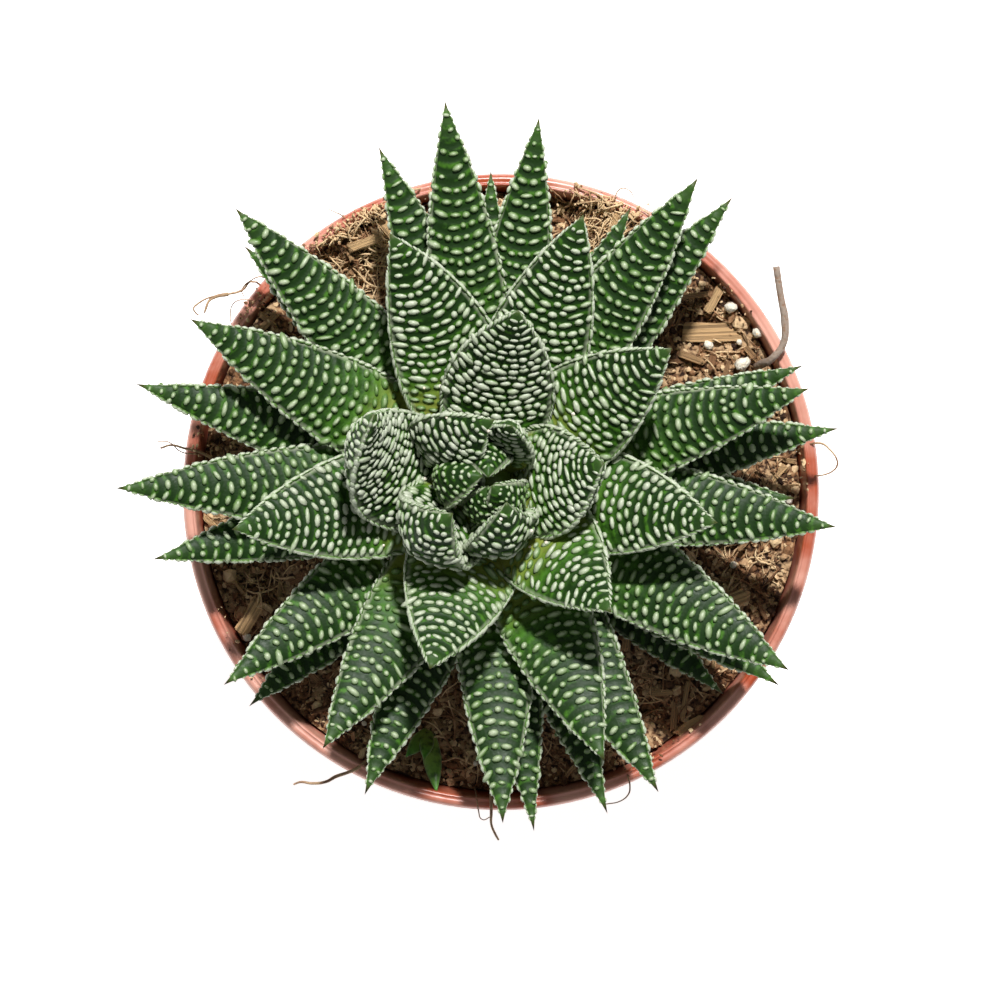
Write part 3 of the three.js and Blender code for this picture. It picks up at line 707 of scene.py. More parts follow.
def copies(shape, middles, axes, values, smooth=True):
    """One object of many copies of the shape, each copy a mesh of its own. Each copy has a middle, three axes
    as the columns of a matrix, and the values that its points carry. Across and rise are the shape's own y
    and z."""
    count = len(middles)
    points = np.einsum("nij,mj->nmi", axes, shape.points) + np.asarray(middles)[:, None]
    triangles = shape.triangles[None] + (np.arange(count) * len(shape.points))[:, None, None]
    mesh = bpy.data.meshes.new("copies")
    mesh.vertices.add(count * len(shape.points))
    mesh.vertices.foreach_set("co", points.ravel())
    mesh.loops.add(triangles.size)
    mesh.loops.foreach_set("vertex_index", triangles.ravel())
    mesh.polygons.add(count * len(shape.triangles))
    mesh.polygons.foreach_set("loop_start", np.arange(0, triangles.size, 3))
    mesh.polygons.foreach_set("use_smooth", np.full(count * len(shape.triangles), smooth))
    mesh.update(calc_edges=True)
    carry(mesh, "across", np.tile(shape.points[:, 1], count))
    carry(mesh, "rise", np.tile(shape.points[:, 2], count))
    for name, value in values.items():
        carry(mesh, name, np.repeat(value, len(shape.points)))
    made = bpy.data.objects.new("copies", mesh)
    bpy.context.scene.collection.objects.link(made)
    return made


def joined(pieces):
    """The pieces as one object."""
    make_active(pieces[0])
    for piece in pieces[1:]:
        piece.select_set(True)
    if len(pieces) > 1:
        bpy.ops.object.join()
    return bpy.context.object


def strands(paths, roundness, steps):
    """Round strands as one mesh, each through points of x, y, z and radius, with steps between the points."""
    curve = bpy.data.curves.new("strands", "CURVE")
    curve.dimensions = "3D"
    curve.bevel_depth = MM
    curve.bevel_resolution = roundness
    curve.use_fill_caps = True
    curve.resolution_u = steps
    for path in paths:
        spline = curve.splines.new("BEZIER")
        spline.bezier_points.add(len(path) - 1)
        for point, (x, y, z, radius) in zip(spline.bezier_points, path):
            point.co = (x, y, z)
            point.radius = radius / MM
            point.handle_left_type = point.handle_right_type = "AUTO"
    piece = bpy.data.objects.new("strands", curve)
    bpy.context.scene.collection.objects.link(piece)
    make_active(piece)
    bpy.ops.object.convert(target="MESH")
    with editing():
        bpy.ops.mesh.remove_doubles(threshold=0.1 * MERGE)
        bpy.ops.mesh.normals_make_consistent(inside=False)
    bpy.ops.object.shade_smooth()
    return bpy.context.object


def random_turns(count, lean, draw):
    """Turns with any heading, each leaning by about that angle."""
    heading = draw.uniform(0, 2 * math.pi, count)
    roll, pitch = draw.normal(0, lean, count), draw.normal(0, lean, count)
    return np.array([Euler(angles).to_matrix() for angles in zip(roll, pitch, heading)])


def unit(vectors):
    """Each row brought to length 1."""
    return vectors / np.linalg.norm(vectors, axis=-1, keepdims=True)


def around(azimuth, radius, height, centre=CROWN):
    """The point at an azimuth in degrees, and a radius and a height above the rim in millimetres."""
    angle = math.radians(azimuth)
    out = np.array([math.cos(angle), math.sin(angle), 0.0]) * radius * MM
    return centre + out + np.array([0.0, 0.0, POT_HEIGHT + height * MM])


def width_share(from_tip, taper):
    """A leaf's width as a share of its widest, at shares of its length from the tip."""
    outer = 1 - np.clip(1 - from_tip / WIDEST_AT, 0, 1) ** taper
    inner = 1 - (1 - BASE_WIDTH) * (np.clip(from_tip - WIDEST_AT, 0, 1) / (1 - WIDEST_AT)) ** 2
    return np.where(from_tip < WIDEST_AT, outer, inner)


class Leaf:
    """A leaf's midline and section, the same as its solid's."""

    BOW = 0.38  # how far a row's ends lie nearer the tip than its middle, as a share of the leaf's half width

    def __init__(self, start, bend, end, facing, width, keel, taper=1.7):
        """The midline runs from start to end, drawn towards bend. Facing is in degrees."""
        self.start, self.bend, self.end = start, bend, end
        angle = math.radians(facing)
        self.sideways = np.array([-math.sin(angle), math.cos(angle), 0.0])
        self.width = width
        self.keel = keel
        self.taper = taper
        self.steps = np.linspace(0, 1, 121)
        strides = np.linalg.norm(np.diff(self.midline(self.steps)[0], axis=0), axis=1)
        self.to_tip = np.concatenate([np.cumsum(strides[::-1])[::-1], [0.0]])
        self.length = self.to_tip[0]
        self.rows = []

    def midline(self, t):
        """The midline's points at shares of the way from base to tip, and the ways along, across and up."""
        t = np.asarray(t)[:, None]
        points = (1 - t) ** 2 * self.start + 2 * t * (1 - t) * self.bend + t**2 * self.end
        along = unit((1 - t) * (self.bend - self.start) + t * (self.end - self.bend))
        side = unit(self.sideways - (along @ self.sideways)[:, None] * along)
        return points, along, side, np.cross(along, side)

    def share_at(self, from_tip):
        """Shares of the way from base to tip, at distances from the tip."""
        return np.interp(from_tip, self.to_tip[::-1], self.steps[::-1])

    def half_at(self, t):
        """Half the leaf's width, with a blunt end."""
        return np.hypot(self.width / 2 * width_share(1 - np.asarray(t), self.taper), LEAF_BLUNT)

    def heights(self, t, share):
        """How far the upper and the lower face lie from the midline's level, at shares of the half width."""
        depth = self.keel * np.minimum(1, 1.1 * width_share(1 - t, self.taper))
        edge = LEAF_EDGE * np.sqrt(np.clip(1 - share**4, 0, 1)) * np.minimum(1, self.half_at(t) / MM)
        upper = UPPER_SWELL * depth * (1 - share**2) + edge
        lower = depth * (1 - np.abs(share) ** KEEL_ROUND) + edge
        return upper, lower

    def surface(self, t, share, face):
        """Points on the upper (face 1) or the lower (face -1) side."""
        points, _, side, up = self.midline(t)
        upper, lower = self.heights(t, share)
        rise = np.where(face > 0, upper, -lower)
        return points + side * (share * self.half_at(t))[:, None] + up * rise[:, None]

    def row_number(self, t, share):
        """Which row of beads runs there, with halves between rows and outside the first and the last."""
        from_tip = np.interp(t, self.steps, self.to_tip) + self.BOW * self.half_at(t) * share**2
        rows = np.array(self.rows)
        before, after = 1.5 * rows[0] - 0.5 * rows[1], 1.5 * rows[-1] - 0.5 * rows[-2]
        marks = np.concatenate([[before], rows, [after]])
        numbers = np.concatenate([[-0.5], np.arange(len(rows)), [len(rows) - 0.5]])
        return np.interp(from_tip, marks, numbers)

    def holds(self, points, clear):
        """Whether each point lies inside the leaf, or within that distance of its faces."""
        middle, along, side, up = self.midline(self.steps)
        nearest = np.argmin(np.linalg.norm(points[:, None] - middle[None], axis=2), axis=1)
        offset = points - middle[nearest]
        t = self.steps[nearest]
        past = np.abs(np.einsum("ij,ij->i", offset, along[nearest]))
        across = np.abs(np.einsum("ij,ij->i", offset, side[nearest]))
        height = np.einsum("ij,ij->i", offset, up[nearest])
        half = self.half_at(t) + clear
        upper, lower = self.heights(t, np.clip(across / half, 0, 1))
        return (across < half) & (height < upper + clear) & (height > -lower - clear) & (past < MM)


def grown_leaf(row, tier):
    """A rosette leaf from its row of sizes, with its rows of beads at distances from its tip."""
    azimuth, reach, tip, base, width, turn = row[:6]
    bend = row[6:8] or (reach * tier.bend_out, base + (tip - base) * tier.bend_up)
    start, facing = row[8:] or (azimuth - turn / 2, azimuth - turn / 2)
    leaf = Leaf(
        around(start, ROOT_RADIUS / MM, base),
        around(azimuth - turn, *bend),
        around(azimuth, reach, tip),
        facing,
        width * MM,
        tier.keel * width * MM,
        tier.taper,
    )
    from_axis = np.linalg.norm((leaf.midline(leaf.steps)[0] - CROWN)[:, :2], axis=1)
    beaded = leaf.steps[from_axis > tier.inmost * MM]
    last = float(np.interp(beaded.min(), leaf.steps, leaf.to_tip)) if len(beaded) else leaf.length / 2
    at = tier.bare * MM
    while at < last or len(leaf.rows) < 2:
        leaf.rows.append(at)
        at += MM * np.interp(at / leaf.length, (0, 1), tier.row_pitch)
    return leaf


def leaf_body(leaf, rings, sides, spine, fresh):
    """The leaf's closed skin: a UV sphere whose rings become the leaf's sections, from base to tip."""
    deselect()
    bpy.ops.mesh.primitive_uv_sphere_add(segments=sides, ring_count=rings, radius=1)
    piece = bpy.context.object
    ball = vertices_of(piece.data)
    t = np.arccos(np.clip(-ball[:, 2], -1, 1)) / math.pi
    turn = np.arctan2(ball[:, 1], ball[:, 0])
    share = np.round(np.cos(turn), 6)
    face = np.where(turn >= 0, 1.0, -1.0)
    points = leaf.surface(t, share, face)
    middle, along, _, _ = leaf.midline(t)
    base, tip = t < 0.5 / rings, t > 1 - 0.5 / rings
    points[base] = middle[base]
    points[tip] = middle[tip] + along[tip] * spine
    move_vertices(piece.data, points)
    from_base = leaf.length - np.interp(t, leaf.steps, leaf.to_tip)
    carry(piece.data, "along", t)
    carry(piece.data, "fresh", np.clip(1.6 * (1 - from_base / fresh), 0, 1))
    carry(piece.data, "edge", np.where(base | tip, 0, np.clip((np.abs(share) - 0.9) / 0.1, 0, 1)))
    carry(piece.data, "spine", tip * min(1.0, spine / BROWN_SPINE))
    if leaf.rows:
        carry(piece.data, "row", leaf.row_number(t, share))
    make_active(piece)
    bpy.ops.object.shade_smooth()
    return piece


def bead_shape():
    """A bead: a low dome with its foot cut flat, about 1 across each way and 1 high above the leaf."""
    deselect()
    bpy.ops.mesh.primitive_uv_sphere_add(segments=8, ring_count=3, radius=1)
    piece = bpy.context.object
    with editing():
        bpy.ops.mesh.bisect(plane_co=(0, 0, -BEAD_FOOT), plane_no=(0, 0, 1), clear_inner=True, use_fill=True)
        bpy.ops.mesh.select_all(action="SELECT")
        bpy.ops.transform.resize(value=(BEAD_HALF, BEAD_HALF, 1))
    return shape_of(piece)


def scaled_axes(directions, sizes):
    """Three axes for each copy, as columns: its directions, each as long as its size."""
    return np.stack([way * size[:, None] for way, size in zip(directions, sizes)], axis=2)


class Places(NamedTuple):
    """Where copies go: middles, axes with their sizes, and how white each is."""

    middles: np.ndarray
    axes: np.ndarray
    white: np.ndarray


def spots_in_rows(leaf, tier, draw):
    """Beads side by side in each row of both faces: row, share across, face, length and size."""
    spots = []
    for face in (1, -1):
        for number, row in enumerate(leaf.rows):
            half = float(leaf.half_at(leaf.share_at(row)))
            small = min(1.0, 0.55 + 0.45 * row / SMALL_BEADS)
            usual = tier.bead[0] * MM * small
            room = max(2 * half - BEADLESS_EDGE, 0.5 * usual)
            at = -usual * ((0.55 if number % 2 else 0.05) + draw.uniform(0, 0.3))
            while at < room:
                long = usual * draw.uniform(0.55, 1.25) * (1.5 if draw.random() < LONG_BEADS else 1)
                middle = at + long / 2
                if 0 < middle < room and draw.random() > MISSING_BEADS:
                    share = (2 * middle - room) / (2 * half)
                    away = row + draw.normal(0, 0.15) * MM
                    spots.append((away, share, face, long, small * draw.uniform(0.72, 1.2)))
                at += long + draw.uniform(0.06, 0.4 - 0.14 * tier.young) * MM * small
    return np.array(spots).T


def bead_places(leaf, tier, sizes, draw):
    """Beads in bowed rows on both faces, small near the tip, each a little off its even place."""
    row, share, face, long, size = spots_in_rows(leaf, tier, draw)
    half = leaf.half_at(leaf.share_at(row))

    def point(more_share, more_along):
        """The beads' places, moved that much across the leaf and away from its tip."""
        moved = np.clip(share + more_share, -1, 1)
        return leaf.surface(leaf.share_at(row - leaf.BOW * half * moved**2 + more_along), moved, face)

    here = point(0, 0)
    across = unit(point(0.04, 0) - point(-0.04, 0))
    along = unit(point(0, 0.3 * MM) - point(0, -0.3 * MM))
    out = unit(np.cross(across, along))
    up = leaf.midline(leaf.share_at(row))[3]
    out *= np.sign(np.einsum("ij,ij->i", out, up) * face)[:, None]
    skew = draw.normal(0, BEAD_SKEW, len(row))[:, None]
    across = unit(across + along * skew)
    along = np.cross(out, across)
    _, width, height = np.array(tier.bead) * MM
    lengths = long * sizes.bead_share
    widths = size * width * draw.uniform(0.88, 1.12, len(size)) * sizes.bead_share
    heights = size * height * draw.uniform(0.85, 1.15, len(size)) * sizes.bead_share
    axes = scaled_axes((across, along, out), (lengths, widths, heights))
    near_base = np.clip(1 - (leaf.rows[-1] - row) / GREEN_BEADS, 0, 1)
    white = tier.white * (1 - 0.5 * near_base) * draw.uniform(0.75, 1.1, len(size))
    return Places(here, axes, np.clip(white, 0, 1))


def tooth_places(leaf, tier, sizes, draw):
    """White teeth along both edges, uneven on old leaves and nearly a ridge on young ones."""
    ridged = float(np.interp(tier.young, (0.3, 0.6), (0, 1)))
    pitch = sizes.tooth_pitch * (1 - 0.42 * ridged)
    from_tip, sign = [], []
    for side in (1.0, -1.0):
        at = FIRST_TOOTH
        while at < min(leaf.rows[-1] + 4 * MM, leaf.length):
            from_tip.append(at)
            sign.append(side)
            at += pitch * draw.uniform(0.6, 1.5)
    from_tip, sign = np.array(from_tip), np.array(sign)
    t = leaf.share_at(from_tip)
    here = leaf.surface(t, 0.985 * sign, np.ones_like(sign))
    _, along, side, up = leaf.midline(t)
    out = unit(side * sign[:, None] + 0.3 * along + 0.2 * up)
    lean = unit(along - np.einsum("ij,ij->i", along, out)[:, None] * out)
    size = draw.uniform(0.6, 1.35, len(t)) * np.minimum(1, 0.5 + from_tip / (16 * MM))
    long = (TOOTH_LENGTH + 0.5 * ridged) * MM * size
    wide = (TOOTH_WIDTH + 0.1 * ridged) * MM * size
    high = sizes.tooth * (1 - 0.25 * ridged) * size
    axes = scaled_axes((lean, np.cross(out, lean), out), (long, wide, high))
    return Places(here, axes, draw.uniform(0.8, 1.0, len(t)))


class HAWORTHIA_OT_leaves(bpy.types.Operator):
    """Add every leaf of the rosette, with its beads, teeth and spine"""

    bl_idname = "haworthia.leaves"
    bl_label = "Leaves"

    def execute(self, context):
        sizes = context.scene.haworthia_sizes
        colours = context.scene.haworthia_colours
        skin, horn = leaf_skin(colours), bead_skin(colours)
        shape = bead_shape()
        draw = np.random.default_rng(7)
        younger = []
        for tier in TIERS:
            for number, row in enumerate(tier.rows, 1):
                leaf = grown_leaf(row, tier)
                spine = sizes.spine * (1 - (1 - YOUNG_SPINE) * tier.young)
                body = leaf_body(leaf, LEAF_RINGS, LEAF_SIDES, spine, tier.fresh * MM)
                sets = bead_places(leaf, tier, sizes, draw), tooth_places(leaf, tier, sizes, draw)
                places = Places(*(np.concatenate(part) for part in zip(*sets)))
                free = np.ones(len(places.middles), dtype=bool)
                for other in younger:
                    free &= ~other.holds(places.middles, BEAD_CLEARANCE)
                beads = copies(shape, places.middles[free], places.axes[free], {"white": places.white[free]})
                body.data.materials.append(skin)
                beads.data.materials.append(horn)
                name = f"{tier.name}_leaf_{number}"
                finish_piece(joined([body, beads]), "fine_" + name, node=name)
                younger.append(leaf)
        return {"FINISHED"}


class HAWORTHIA_OT_crown(bpy.types.Operator):
    """Add the short stem that carries the leaves"""

    bl_idname = "haworthia.crown"
    bl_label = "Crown stem"

    def execute(self, context):
        stem = turned(rounded(metres(STEM_PROFILE, POT_HEIGHT), STEM_ROUND), STEM_STEPS)
        move_vertices(stem.data, vertices_of(stem.data) + CROWN)
        skin = crown_skin(context.scene.haworthia_colours)
        finish_piece(stem, "fine_crown_stem", skin, "crown_stem")
        return {"FINISHED"}


class HAWORTHIA_OT_shoot(bpy.types.Operator):
    """Add the young offset shoot, low between the leaves"""

    bl_idname = "haworthia.shoot"
    bl_label = "Offset shoot"

    def execute(self, context):
        stub = turned(metres(SHOOT_STUB, POT_HEIGHT), SHOOT_STEPS)
        move_vertices(stub.data, vertices_of(stub.data) + SHOOT_PLACE)
        parts = [stub]
        for azimuth, reach, tip, width in SHOOT_LEAVES:
            leaf = Leaf(
                around(azimuth, 0, -SHOOT_LEAF_BASE, SHOOT_PLACE),
                around(azimuth, 0.6 * reach, tip - SHOOT_ARCH, SHOOT_PLACE),
                around(azimuth, reach, tip, SHOOT_PLACE),
                azimuth,
                width * MM,
                SHOOT_KEEL * width * MM,
            )
            parts.append(leaf_body(leaf, SHOOT_RINGS, SHOOT_SIDES, SHOOT_SPINE, SHOOT_FRESH))
        skin = shoot_skin(context.scene.haworthia_colours)
        finish_piece(joined(parts), "fine_offset_shoot", skin, "offset_shoot")
        return {"FINISHED"}


class HAWORTHIA_OT_pot(bpy.types.Operator):
    """Add the nursery pot with its collar, rolled lip, foot ring and drain holes"""

    bl_idname = "haworthia.pot"
    bl_label = "Pot"

    def execute(self, context):
        pot = turned(rounded(metres(POT_PROFILE), LIP_ROUND), POT_STEPS)
        drills = []
        for i in range(DRAIN_HOLES):
            angle = 2 * math.pi * i / DRAIN_HOLES
            place = (DRAIN_RING * math.cos(angle), DRAIN_RING * math.sin(angle), 0)
            deselect()
            bpy.ops.mesh.primitive_cylinder_add(
                vertices=32, radius=DRAIN_RADIUS, depth=10 * MM, location=place
            )
            drills.append(context.object)
        drill = joined(drills)
        apply_modifier(pot, "BOOLEAN", operation="DIFFERENCE", object=drill, solver="EXACT")
        bpy.data.objects.remove(drill)
        make_active(pot)
        bpy.ops.object.shade_smooth_by_angle(angle=CREASE)
        finish_piece(pot, "fine_pot", pot_plastic(context.scene.haworthia_colours), "pot")
        return {"FINISHED"}


def soil_height(x, y):
    """Height of the soil's top: the solid's lumps with finer ones, and mounds against the lip."""
    across, away = x / MM, y / MM
    lumps = math.sin(0.31 * across + 1.3) * math.cos(0.27 * away - 0.4)
    lumps += 0.6 * math.sin(0.53 * away + 0.38 * across + 2.1)
    height = POT_HEIGHT - SOIL_BELOW_RIM + SOIL_LUMPS * lumps
    for mound_x, mound_y, rise, spread in SOIL_MOUNDS:
        far = math.hypot(across - mound_x, away - mound_y) / spread
        height += rise * MM * math.exp(-far * far)
    return height + SOIL_FINE_LUMPS * noise.fractal(Vector((x, y, 0)) / SOIL_FINE_LUMP, 0.8, 2.1, 5)


def dryness(x, y):
    """How pale and dry the soil is there: 1 on top of the two high mounds by the lip, 0 away from them."""
    far = [math.hypot(x / MM - mound[0], y / MM - mound[1]) / (1.3 * mound[3]) for mound in HIGH_MOUNDS]
    return math.exp(-min(far) ** 2)


def on_soil(count, draw, reach):
    """Random places on the soil's top, away from the stem and within reach of the pot's axis."""
    places = []
    while len(places) < count:
        radius, angle = reach * math.sqrt(draw.random()), draw.uniform(0, 2 * math.pi)
        x, y = radius * math.cos(angle), radius * math.sin(angle)
        if math.hypot(x - CROWN[0], y - CROWN[1]) > CLEAR_OF_STEM:
            places.append((x, y, soil_height(x, y)))
    return np.array(places)


def jumbled(shapes, spots, axes, tones):
    """One object of flat-faced copies, which take the shapes in turn and carry their tones."""
    parts = []
    for kind, shape in enumerate(shapes):
        own = np.arange(len(spots)) % len(shapes) == kind
        parts.append(copies(shape, spots[own], axes[own], {"tone": tones[own]}, smooth=False))
    return joined(parts)


def random_lump(seed, subdivisions, spread):
    """An uneven lump, about 1 across each way."""
    deselect()
    bpy.ops.mesh.primitive_ico_sphere_add(subdivisions=subdivisions, radius=0.5)
    piece = bpy.context.object
    with editing():
        bpy.ops.transform.vertex_random(offset=spread, uniform=0.4, seed=seed)
    return shape_of(piece)


def splinter(seed):
    """A broken flake, about 1 across each way before it is drawn long and thin."""
    deselect()
    bpy.ops.mesh.primitive_cube_add(size=1)
    piece = bpy.context.object
    with editing():
        bpy.ops.mesh.subdivide(number_cuts=1)
        bpy.ops.transform.vertex_random(offset=0.13, uniform=1.0, seed=seed)
    return shape_of(piece)


class HAWORTHIA_OT_soil(bpy.types.Operator):
    """Add the potting mix: the bed of peat, with crumbs, splinters of bark, fibres and perlite on it"""

    bl_idname = "haworthia.soil"
    bl_label = "Soil"

    CRUMBS, CHIPS, GRAINS, FIBRES, MOUND_FIBRES = 8200, 640, 40, 1150, 150

    def execute(self, context):
        sizes = context.scene.haworthia_sizes
        colours = context.scene.haworthia_colours
        draw = np.random.default_rng(23)
        self.add_bed(peat(colours))
        loose = crumb_matter(colours)
        self.add_crumbs(loose, sizes, draw)
        self.add_fibres(loose, draw)
        self.add_chips(bark_matter(colours), draw)
        self.add_perlite(perlite_matter(colours), draw)
        return {"FINISHED"}

    def add_bed(self, material):
        """The bed fills the pot, with a lumpy top."""
        level = POT_HEIGHT - SOIL_BELOW_RIM
        rings = [(radius, level) for radius in np.arange(SOIL_SIDE[-1][0], 0, -SOIL_RING) * MM]
        bed = turned(metres(SOIL_SIDE) + rings + [(0, level)], SOIL_STEPS)
        points = vertices_of(bed.data)
        for point in points:
            if point[2] > level - 0.5 * MM:
                point[2] = soil_height(point[0], point[1])
        move_vertices(bed.data, points)
        bpy.ops.object.shade_smooth_by_angle(angle=SOIL_CREASE)
        finish_piece(bed, "fine_soil", material, "soil")

    def add_crumbs(self, material, sizes, draw):
        """Crumbs of peat, most of them small, some spilled on the lip."""
        spots = on_soil(self.CRUMBS, draw, CRUMB_REACH)
        spilled = []
        for azimuth, spread, radius, count in LIP_SPILLS:
            for _ in range(count):
                angle = math.radians(azimuth + draw.normal(0, spread))
                out = (radius + draw.normal(0, 0.8)) * MM
                lift = POT_HEIGHT + (abs(draw.normal(0, 0.5)) + (0.1 if out > LIP_TOP else -0.4)) * MM
                spilled.append((out * math.cos(angle), out * math.sin(angle), lift))
        spots = np.concatenate([spots, spilled])
        size = sizes.soil_crumb * np.exp(draw.normal(0, 0.42, len(spots)))
        size[-len(spilled):] *= SPILLED_SIZE
        ranges = (0.7, 1.5), (0.6, 1.0), (0.35, 0.8)
        squash = np.stack([draw.uniform(low, high, len(spots)) for low, high in ranges], axis=1)
        axes = random_turns(len(spots), 0.7, draw) * (squash * size[:, None])[:, None, :]
        spots[:, 2] += size * draw.uniform(0.0, 0.35, len(size))
        dry = np.array([0.5 * dryness(x, y) for x, y, _ in spots])
        tones = dry + (1 - dry) * draw.beta(1.0, 0.75, len(spots))
        shapes = [random_lump(seed, 1, 0.16) for seed in (1, 2, 3, 4)]
        finish_piece(jumbled(shapes, spots, axes, tones), "crumbs", material)

    def add_fibres(self, material, draw):
        """Coir fibres, lying and arching over the crumbs."""
        paths = []
        starts = [(*place[:2], CRUMB_REACH) for place in on_soil(self.FIBRES, draw, CHIP_REACH)]
        for x, y, _, spread in HIGH_MOUNDS:
            for _ in range(self.MOUND_FIBRES):
                starts.append((*draw.normal((x, y), 0.7 * spread) * MM, SPILL_REACH))
        for x, y, reach in starts:
            heading = draw.uniform(0, 2 * math.pi)
            spans = FIBRE_STRIDE, FIBRE_RADIUS, FIBRE_ARCH
            stride, thick, arch = (draw.uniform(*span) * MM for span in spans)
            path = []
            for i in range(FIBRE_POINTS):
                out = math.hypot(x, y)
                if out < reach:
                    lift = arch * math.sin(math.pi * i / (FIBRE_POINTS - 1)) + 0.25 * MM
                    under = soil_height(x, y) if out < SOIL_EDGE else POT_HEIGHT
                    path.append((x, y, under + lift, thick * (1 - 0.15 * abs(i - FIBRE_POINTS // 2))))
                heading += draw.normal(0, 0.5)
                x, y = x + stride * math.cos(heading), y + stride * math.sin(heading)
            if len(path) > 2:
                paths.append(path)
        fibres = strands(paths, 0, 2)
        tones = [
            0.55 + 0.9 * noise.noise(Vector(point) / (3 * MM)) + 0.5 * dryness(point[0], point[1])
            for point in vertices_of(fibres.data)
        ]
        carry(fibres.data, "tone", tones)
        finish_piece(fibres, "fibres", material)

    def add_chips(self, material, draw):
        """Splinters of bark and wood, lying flat; the largest are where the photograph has them."""
        spots = on_soil(self.CHIPS, draw, CHIP_REACH)
        length = np.exp(draw.normal(1.0, 0.4, len(spots))) * MM
        wide = length * draw.uniform(0.1, 0.32, len(spots))
        thick = draw.uniform(0.15, 0.4, len(spots)) * MM
        turns = random_turns(len(spots), 0.3, draw)
        tones = draw.uniform(0.0, 1.0, len(spots))
        for i, (x, y, heading, long, broad, tone) in enumerate(LARGE_CHIPS):
            spots[i] = x * MM, y * MM, soil_height(x * MM, y * MM)
            length[i], wide[i], thick[i], tones[i] = long * MM, broad * MM, LARGE_CHIP_DEPTH, tone
            turns[i] = Euler((0.1, -0.05, math.radians(heading))).to_matrix()
        spots[:, 2] += thick * 0.5 + draw.uniform(0.1, 0.7, len(spots)) * MM
        spots[: len(LARGE_CHIPS), 2] += LARGE_LIFT
        axes = turns * np.stack([length, wide, thick], axis=1)[:, None, :]
        shapes = [splinter(seed) for seed in (5, 6, 7)]
        finish_piece(jumbled(shapes, spots, axes, tones), "bark_chips", material)

    def add_perlite(self, material, draw):
        """White grains, the largest where the photograph has them."""
        spots = on_soil(self.GRAINS, draw, GRAIN_REACH)
        size = draw.uniform(0.6, 1.6, len(spots)) * MM
        for i, (x, y, across) in enumerate(LARGE_GRAINS):
            spots[i] = x * MM, y * MM, soil_height(x * MM, y * MM)
            size[i] = across * MM
        spots[:, 2] += 0.5 * size + 0.4 * MM
        spots[: len(LARGE_GRAINS), 2] += LARGE_LIFT
        turns = random_turns(len(spots), 1.0, draw)
        axes = turns * (size[:, None] * draw.uniform(0.8, 1.1, (len(spots), 3)))[:, None]
        finish_piece(copies(random_lump(9, 2, 0.12), spots, axes, {}), "perlite", material)


class HAWORTHIA_OT_litter(bpy.types.Operator):
    """Add the dry twig on the lip, and the dry roots and hairs that hang over it"""

    bl_idname = "haworthia.litter"
    bl_label = "Twig and roots"

    def execute(self, context):
        sizes = context.scene.haworthia_sizes
        colours = context.scene.haworthia_colours
        draw = np.random.default_rng(5)
        stem = []
        for number, (x, y, height) in enumerate(TWIG_PATH):
            knot = 1.0 + (0.16 if number % 3 == 1 else -0.04) + draw.uniform(-0.05, 0.05)
            stem.append((x * MM, y * MM, POT_HEIGHT + height * MM, sizes.twig_radius * knot))
        finish_piece(strands([stem], 3, 8), "fine_twig", dry_bark(colours), "twig")
        paths = []
        for radius, points in ROOT_PATHS:
            path = []
            for number, (x, y, height) in enumerate(points):
                taper = 1 - 0.45 * number / (len(points) - 1)
                thick = radius * taper * draw.uniform(0.85, 1.15) * MM
                path.append((x * MM, y * MM, POT_HEIGHT + height * MM, thick))
            paths.append(path)
        finish_piece(strands(paths, 1, 5), "dry_roots", dry_root(colours))
        return {"FINISHED"}


def top_of(leaves, x, y):
    """The highest point of the leaves at that place."""
    above = Vector((x, y, 2 * POT_HEIGHT))
    touched = [leaf.ray_cast(above, (0, 0, -1)) for leaf in leaves]
    found = [place for hit, place, *_ in touched if hit]
    if not found:
        raise RuntimeError(f"No leaf at {x:.4f}, {y:.4f} for a speck to lie on")
    return max(found, key=lambda place: place.z)


class HAWORTHIA_OT_glint_specks(bpy.types.Operator):
    """Add the few bright specks on the leaves near the crown: painted glints, made as white grains of perlite
    matter
    """

    bl_idname = "haworthia.dust"
    bl_label = "Glint specks"

    def execute(self, context):
        draw = np.random.default_rng(3)
        context.view_layer.update()
        pieces = context.scene.objects
        leaves = [piece for piece in pieces if piece.name.startswith("fine_") and "_leaf_" in piece.name]
        spots = np.array([top_of(leaves, x * MM, y * MM) for x, y in GLINT_SPECKS])
        size = draw.uniform(0.45, 0.75, len(spots)) * MM
        axes = random_turns(len(spots), 1.0, draw) * size[:, None, None]
        # White grains that paint the glints of light on the leaves.
        specks = copies(random_lump(4, 2, 0.06), spots, axes, {})
        finish_piece(specks, "painted_glints", perlite_matter(context.scene.haworthia_colours))
        return {"FINISHED"}


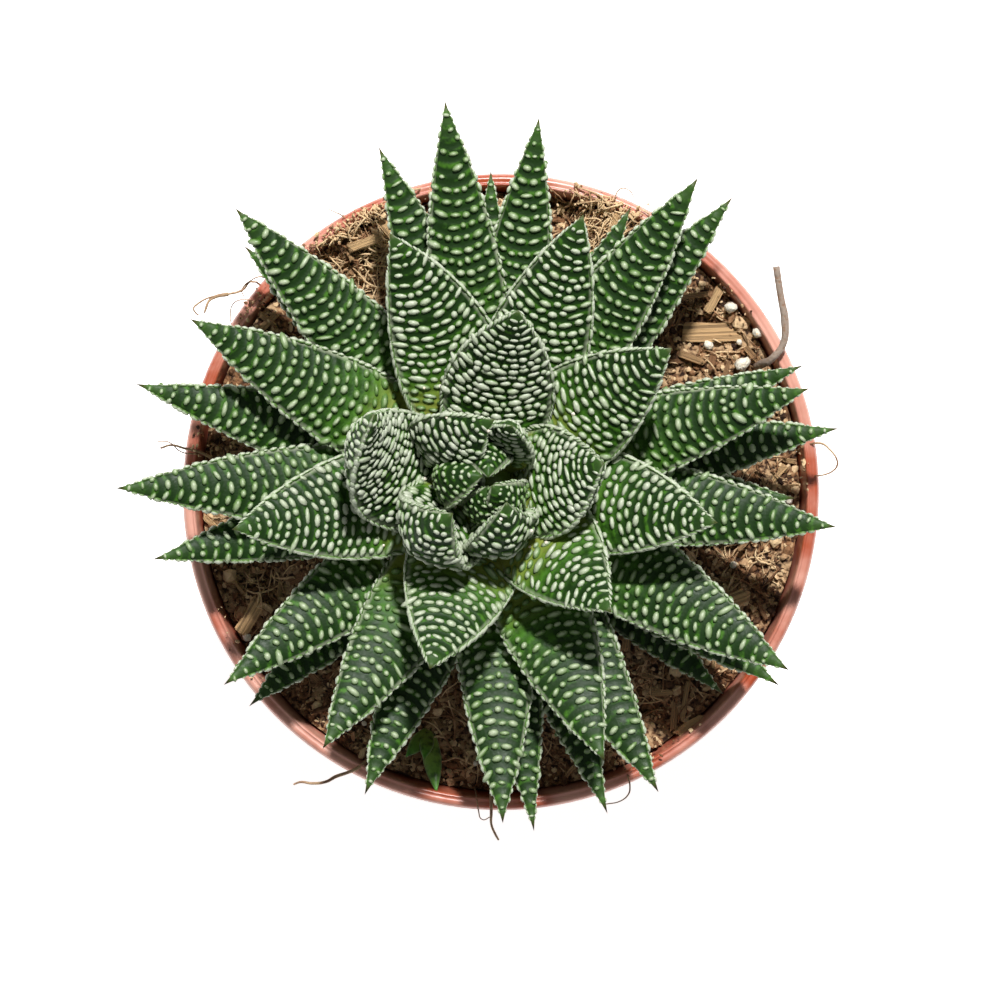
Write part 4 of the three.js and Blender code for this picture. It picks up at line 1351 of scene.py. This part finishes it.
class HAWORTHIA_OT_stage(bpy.types.Operator):
    """Add the pale floor, the soft lights and the camera that looks straight down"""

    bl_idname = "haworthia.stage"
    bl_label = "Stage"

    def execute(self, context):
        sizes = context.scene.haworthia_sizes
        deselect()
        bpy.ops.mesh.primitive_plane_add(size=FLOOR_SIZE)
        floor = context.object
        floor.name = "floor"
        floor.data.materials.append(pale_board(context.scene.haworthia_colours))

        world = bpy.data.worlds.new("Soft daylight")
        context.scene.world = world
        world.use_nodes = True
        background = world.node_tree.nodes["Background"]
        feed(world.node_tree, background, {"Color": linear(DAYLIGHT), "Strength": DAYLIGHT_STRENGTH})
        for light in LIGHTS:
            self.add_light(*light)

        deselect()
        place = (*CAMERA_PLACE, POT_HEIGHT + sizes.view_height)
        bpy.ops.object.camera_add(location=place, rotation=(0, 0, 0))
        camera = context.object
        camera.data.sensor_width = CAMERA_SENSOR
        camera.data.lens = CAMERA_LENS
        camera.data.clip_start = CAMERA_CLIP
        context.scene.camera = camera
        context.scene.view_settings.view_transform = "Standard"
        return {"FINISHED"}

    def add_light(self, name, place, size, power):
        """A square soft light, turned to the plant."""
        aim = Vector((0, 0, POT_HEIGHT))
        turn = (Vector(place) - aim).to_track_quat("Z", "Y").to_euler()
        bpy.ops.object.light_add(type="AREA", location=place, rotation=turn)
        light = bpy.context.object
        light.name = name
        light.data.size = size
        light.data.energy = power


class HAWORTHIA_PT_panel(bpy.types.Panel):
    """Lists the pieces, with their sizes and colours"""

    bl_label = "Haworthia"
    bl_space_type = "VIEW_3D"
    bl_region_type = "UI"
    bl_category = "Haworthia"

    def draw(self, context):
        for operator in OPERATORS:
            self.layout.operator(operator.bl_idname)
        for settings in (context.scene.haworthia_sizes, context.scene.haworthia_colours):
            column = self.layout.column()
            for name in settings.bl_rna.properties.keys():
                if name not in {"rna_type", "name"}:
                    column.prop(settings, name)


OPERATORS = (
    HAWORTHIA_OT_pot, HAWORTHIA_OT_soil, HAWORTHIA_OT_crown, HAWORTHIA_OT_leaves, HAWORTHIA_OT_shoot,
    HAWORTHIA_OT_litter, HAWORTHIA_OT_glint_specks, HAWORTHIA_OT_stage,
)
CLASSES = (HaworthiaSizes, HaworthiaColours, *OPERATORS, HAWORTHIA_PT_panel)


def register():
    """Registers the classes and puts their settings on the scene."""
    for cls in CLASSES:
        bpy.utils.register_class(cls)
    bpy.types.Scene.haworthia_sizes = PointerProperty(type=HaworthiaSizes)
    bpy.types.Scene.haworthia_colours = PointerProperty(type=HaworthiaColours)


def unregister():
    """Takes back what register did."""
    del bpy.types.Scene.haworthia_colours
    del bpy.types.Scene.haworthia_sizes
    for cls in reversed(CLASSES):
        bpy.utils.unregister_class(cls)


def main():
    """Adds every piece and the stage."""
    register()
    bpy.ops.haworthia.pot()
    bpy.ops.haworthia.soil()
    bpy.ops.haworthia.crown()
    bpy.ops.haworthia.leaves()
    bpy.ops.haworthia.shoot()
    bpy.ops.haworthia.litter()
    bpy.ops.haworthia.dust()
    bpy.ops.haworthia.stage()


if __name__ == "__main__":
    main()
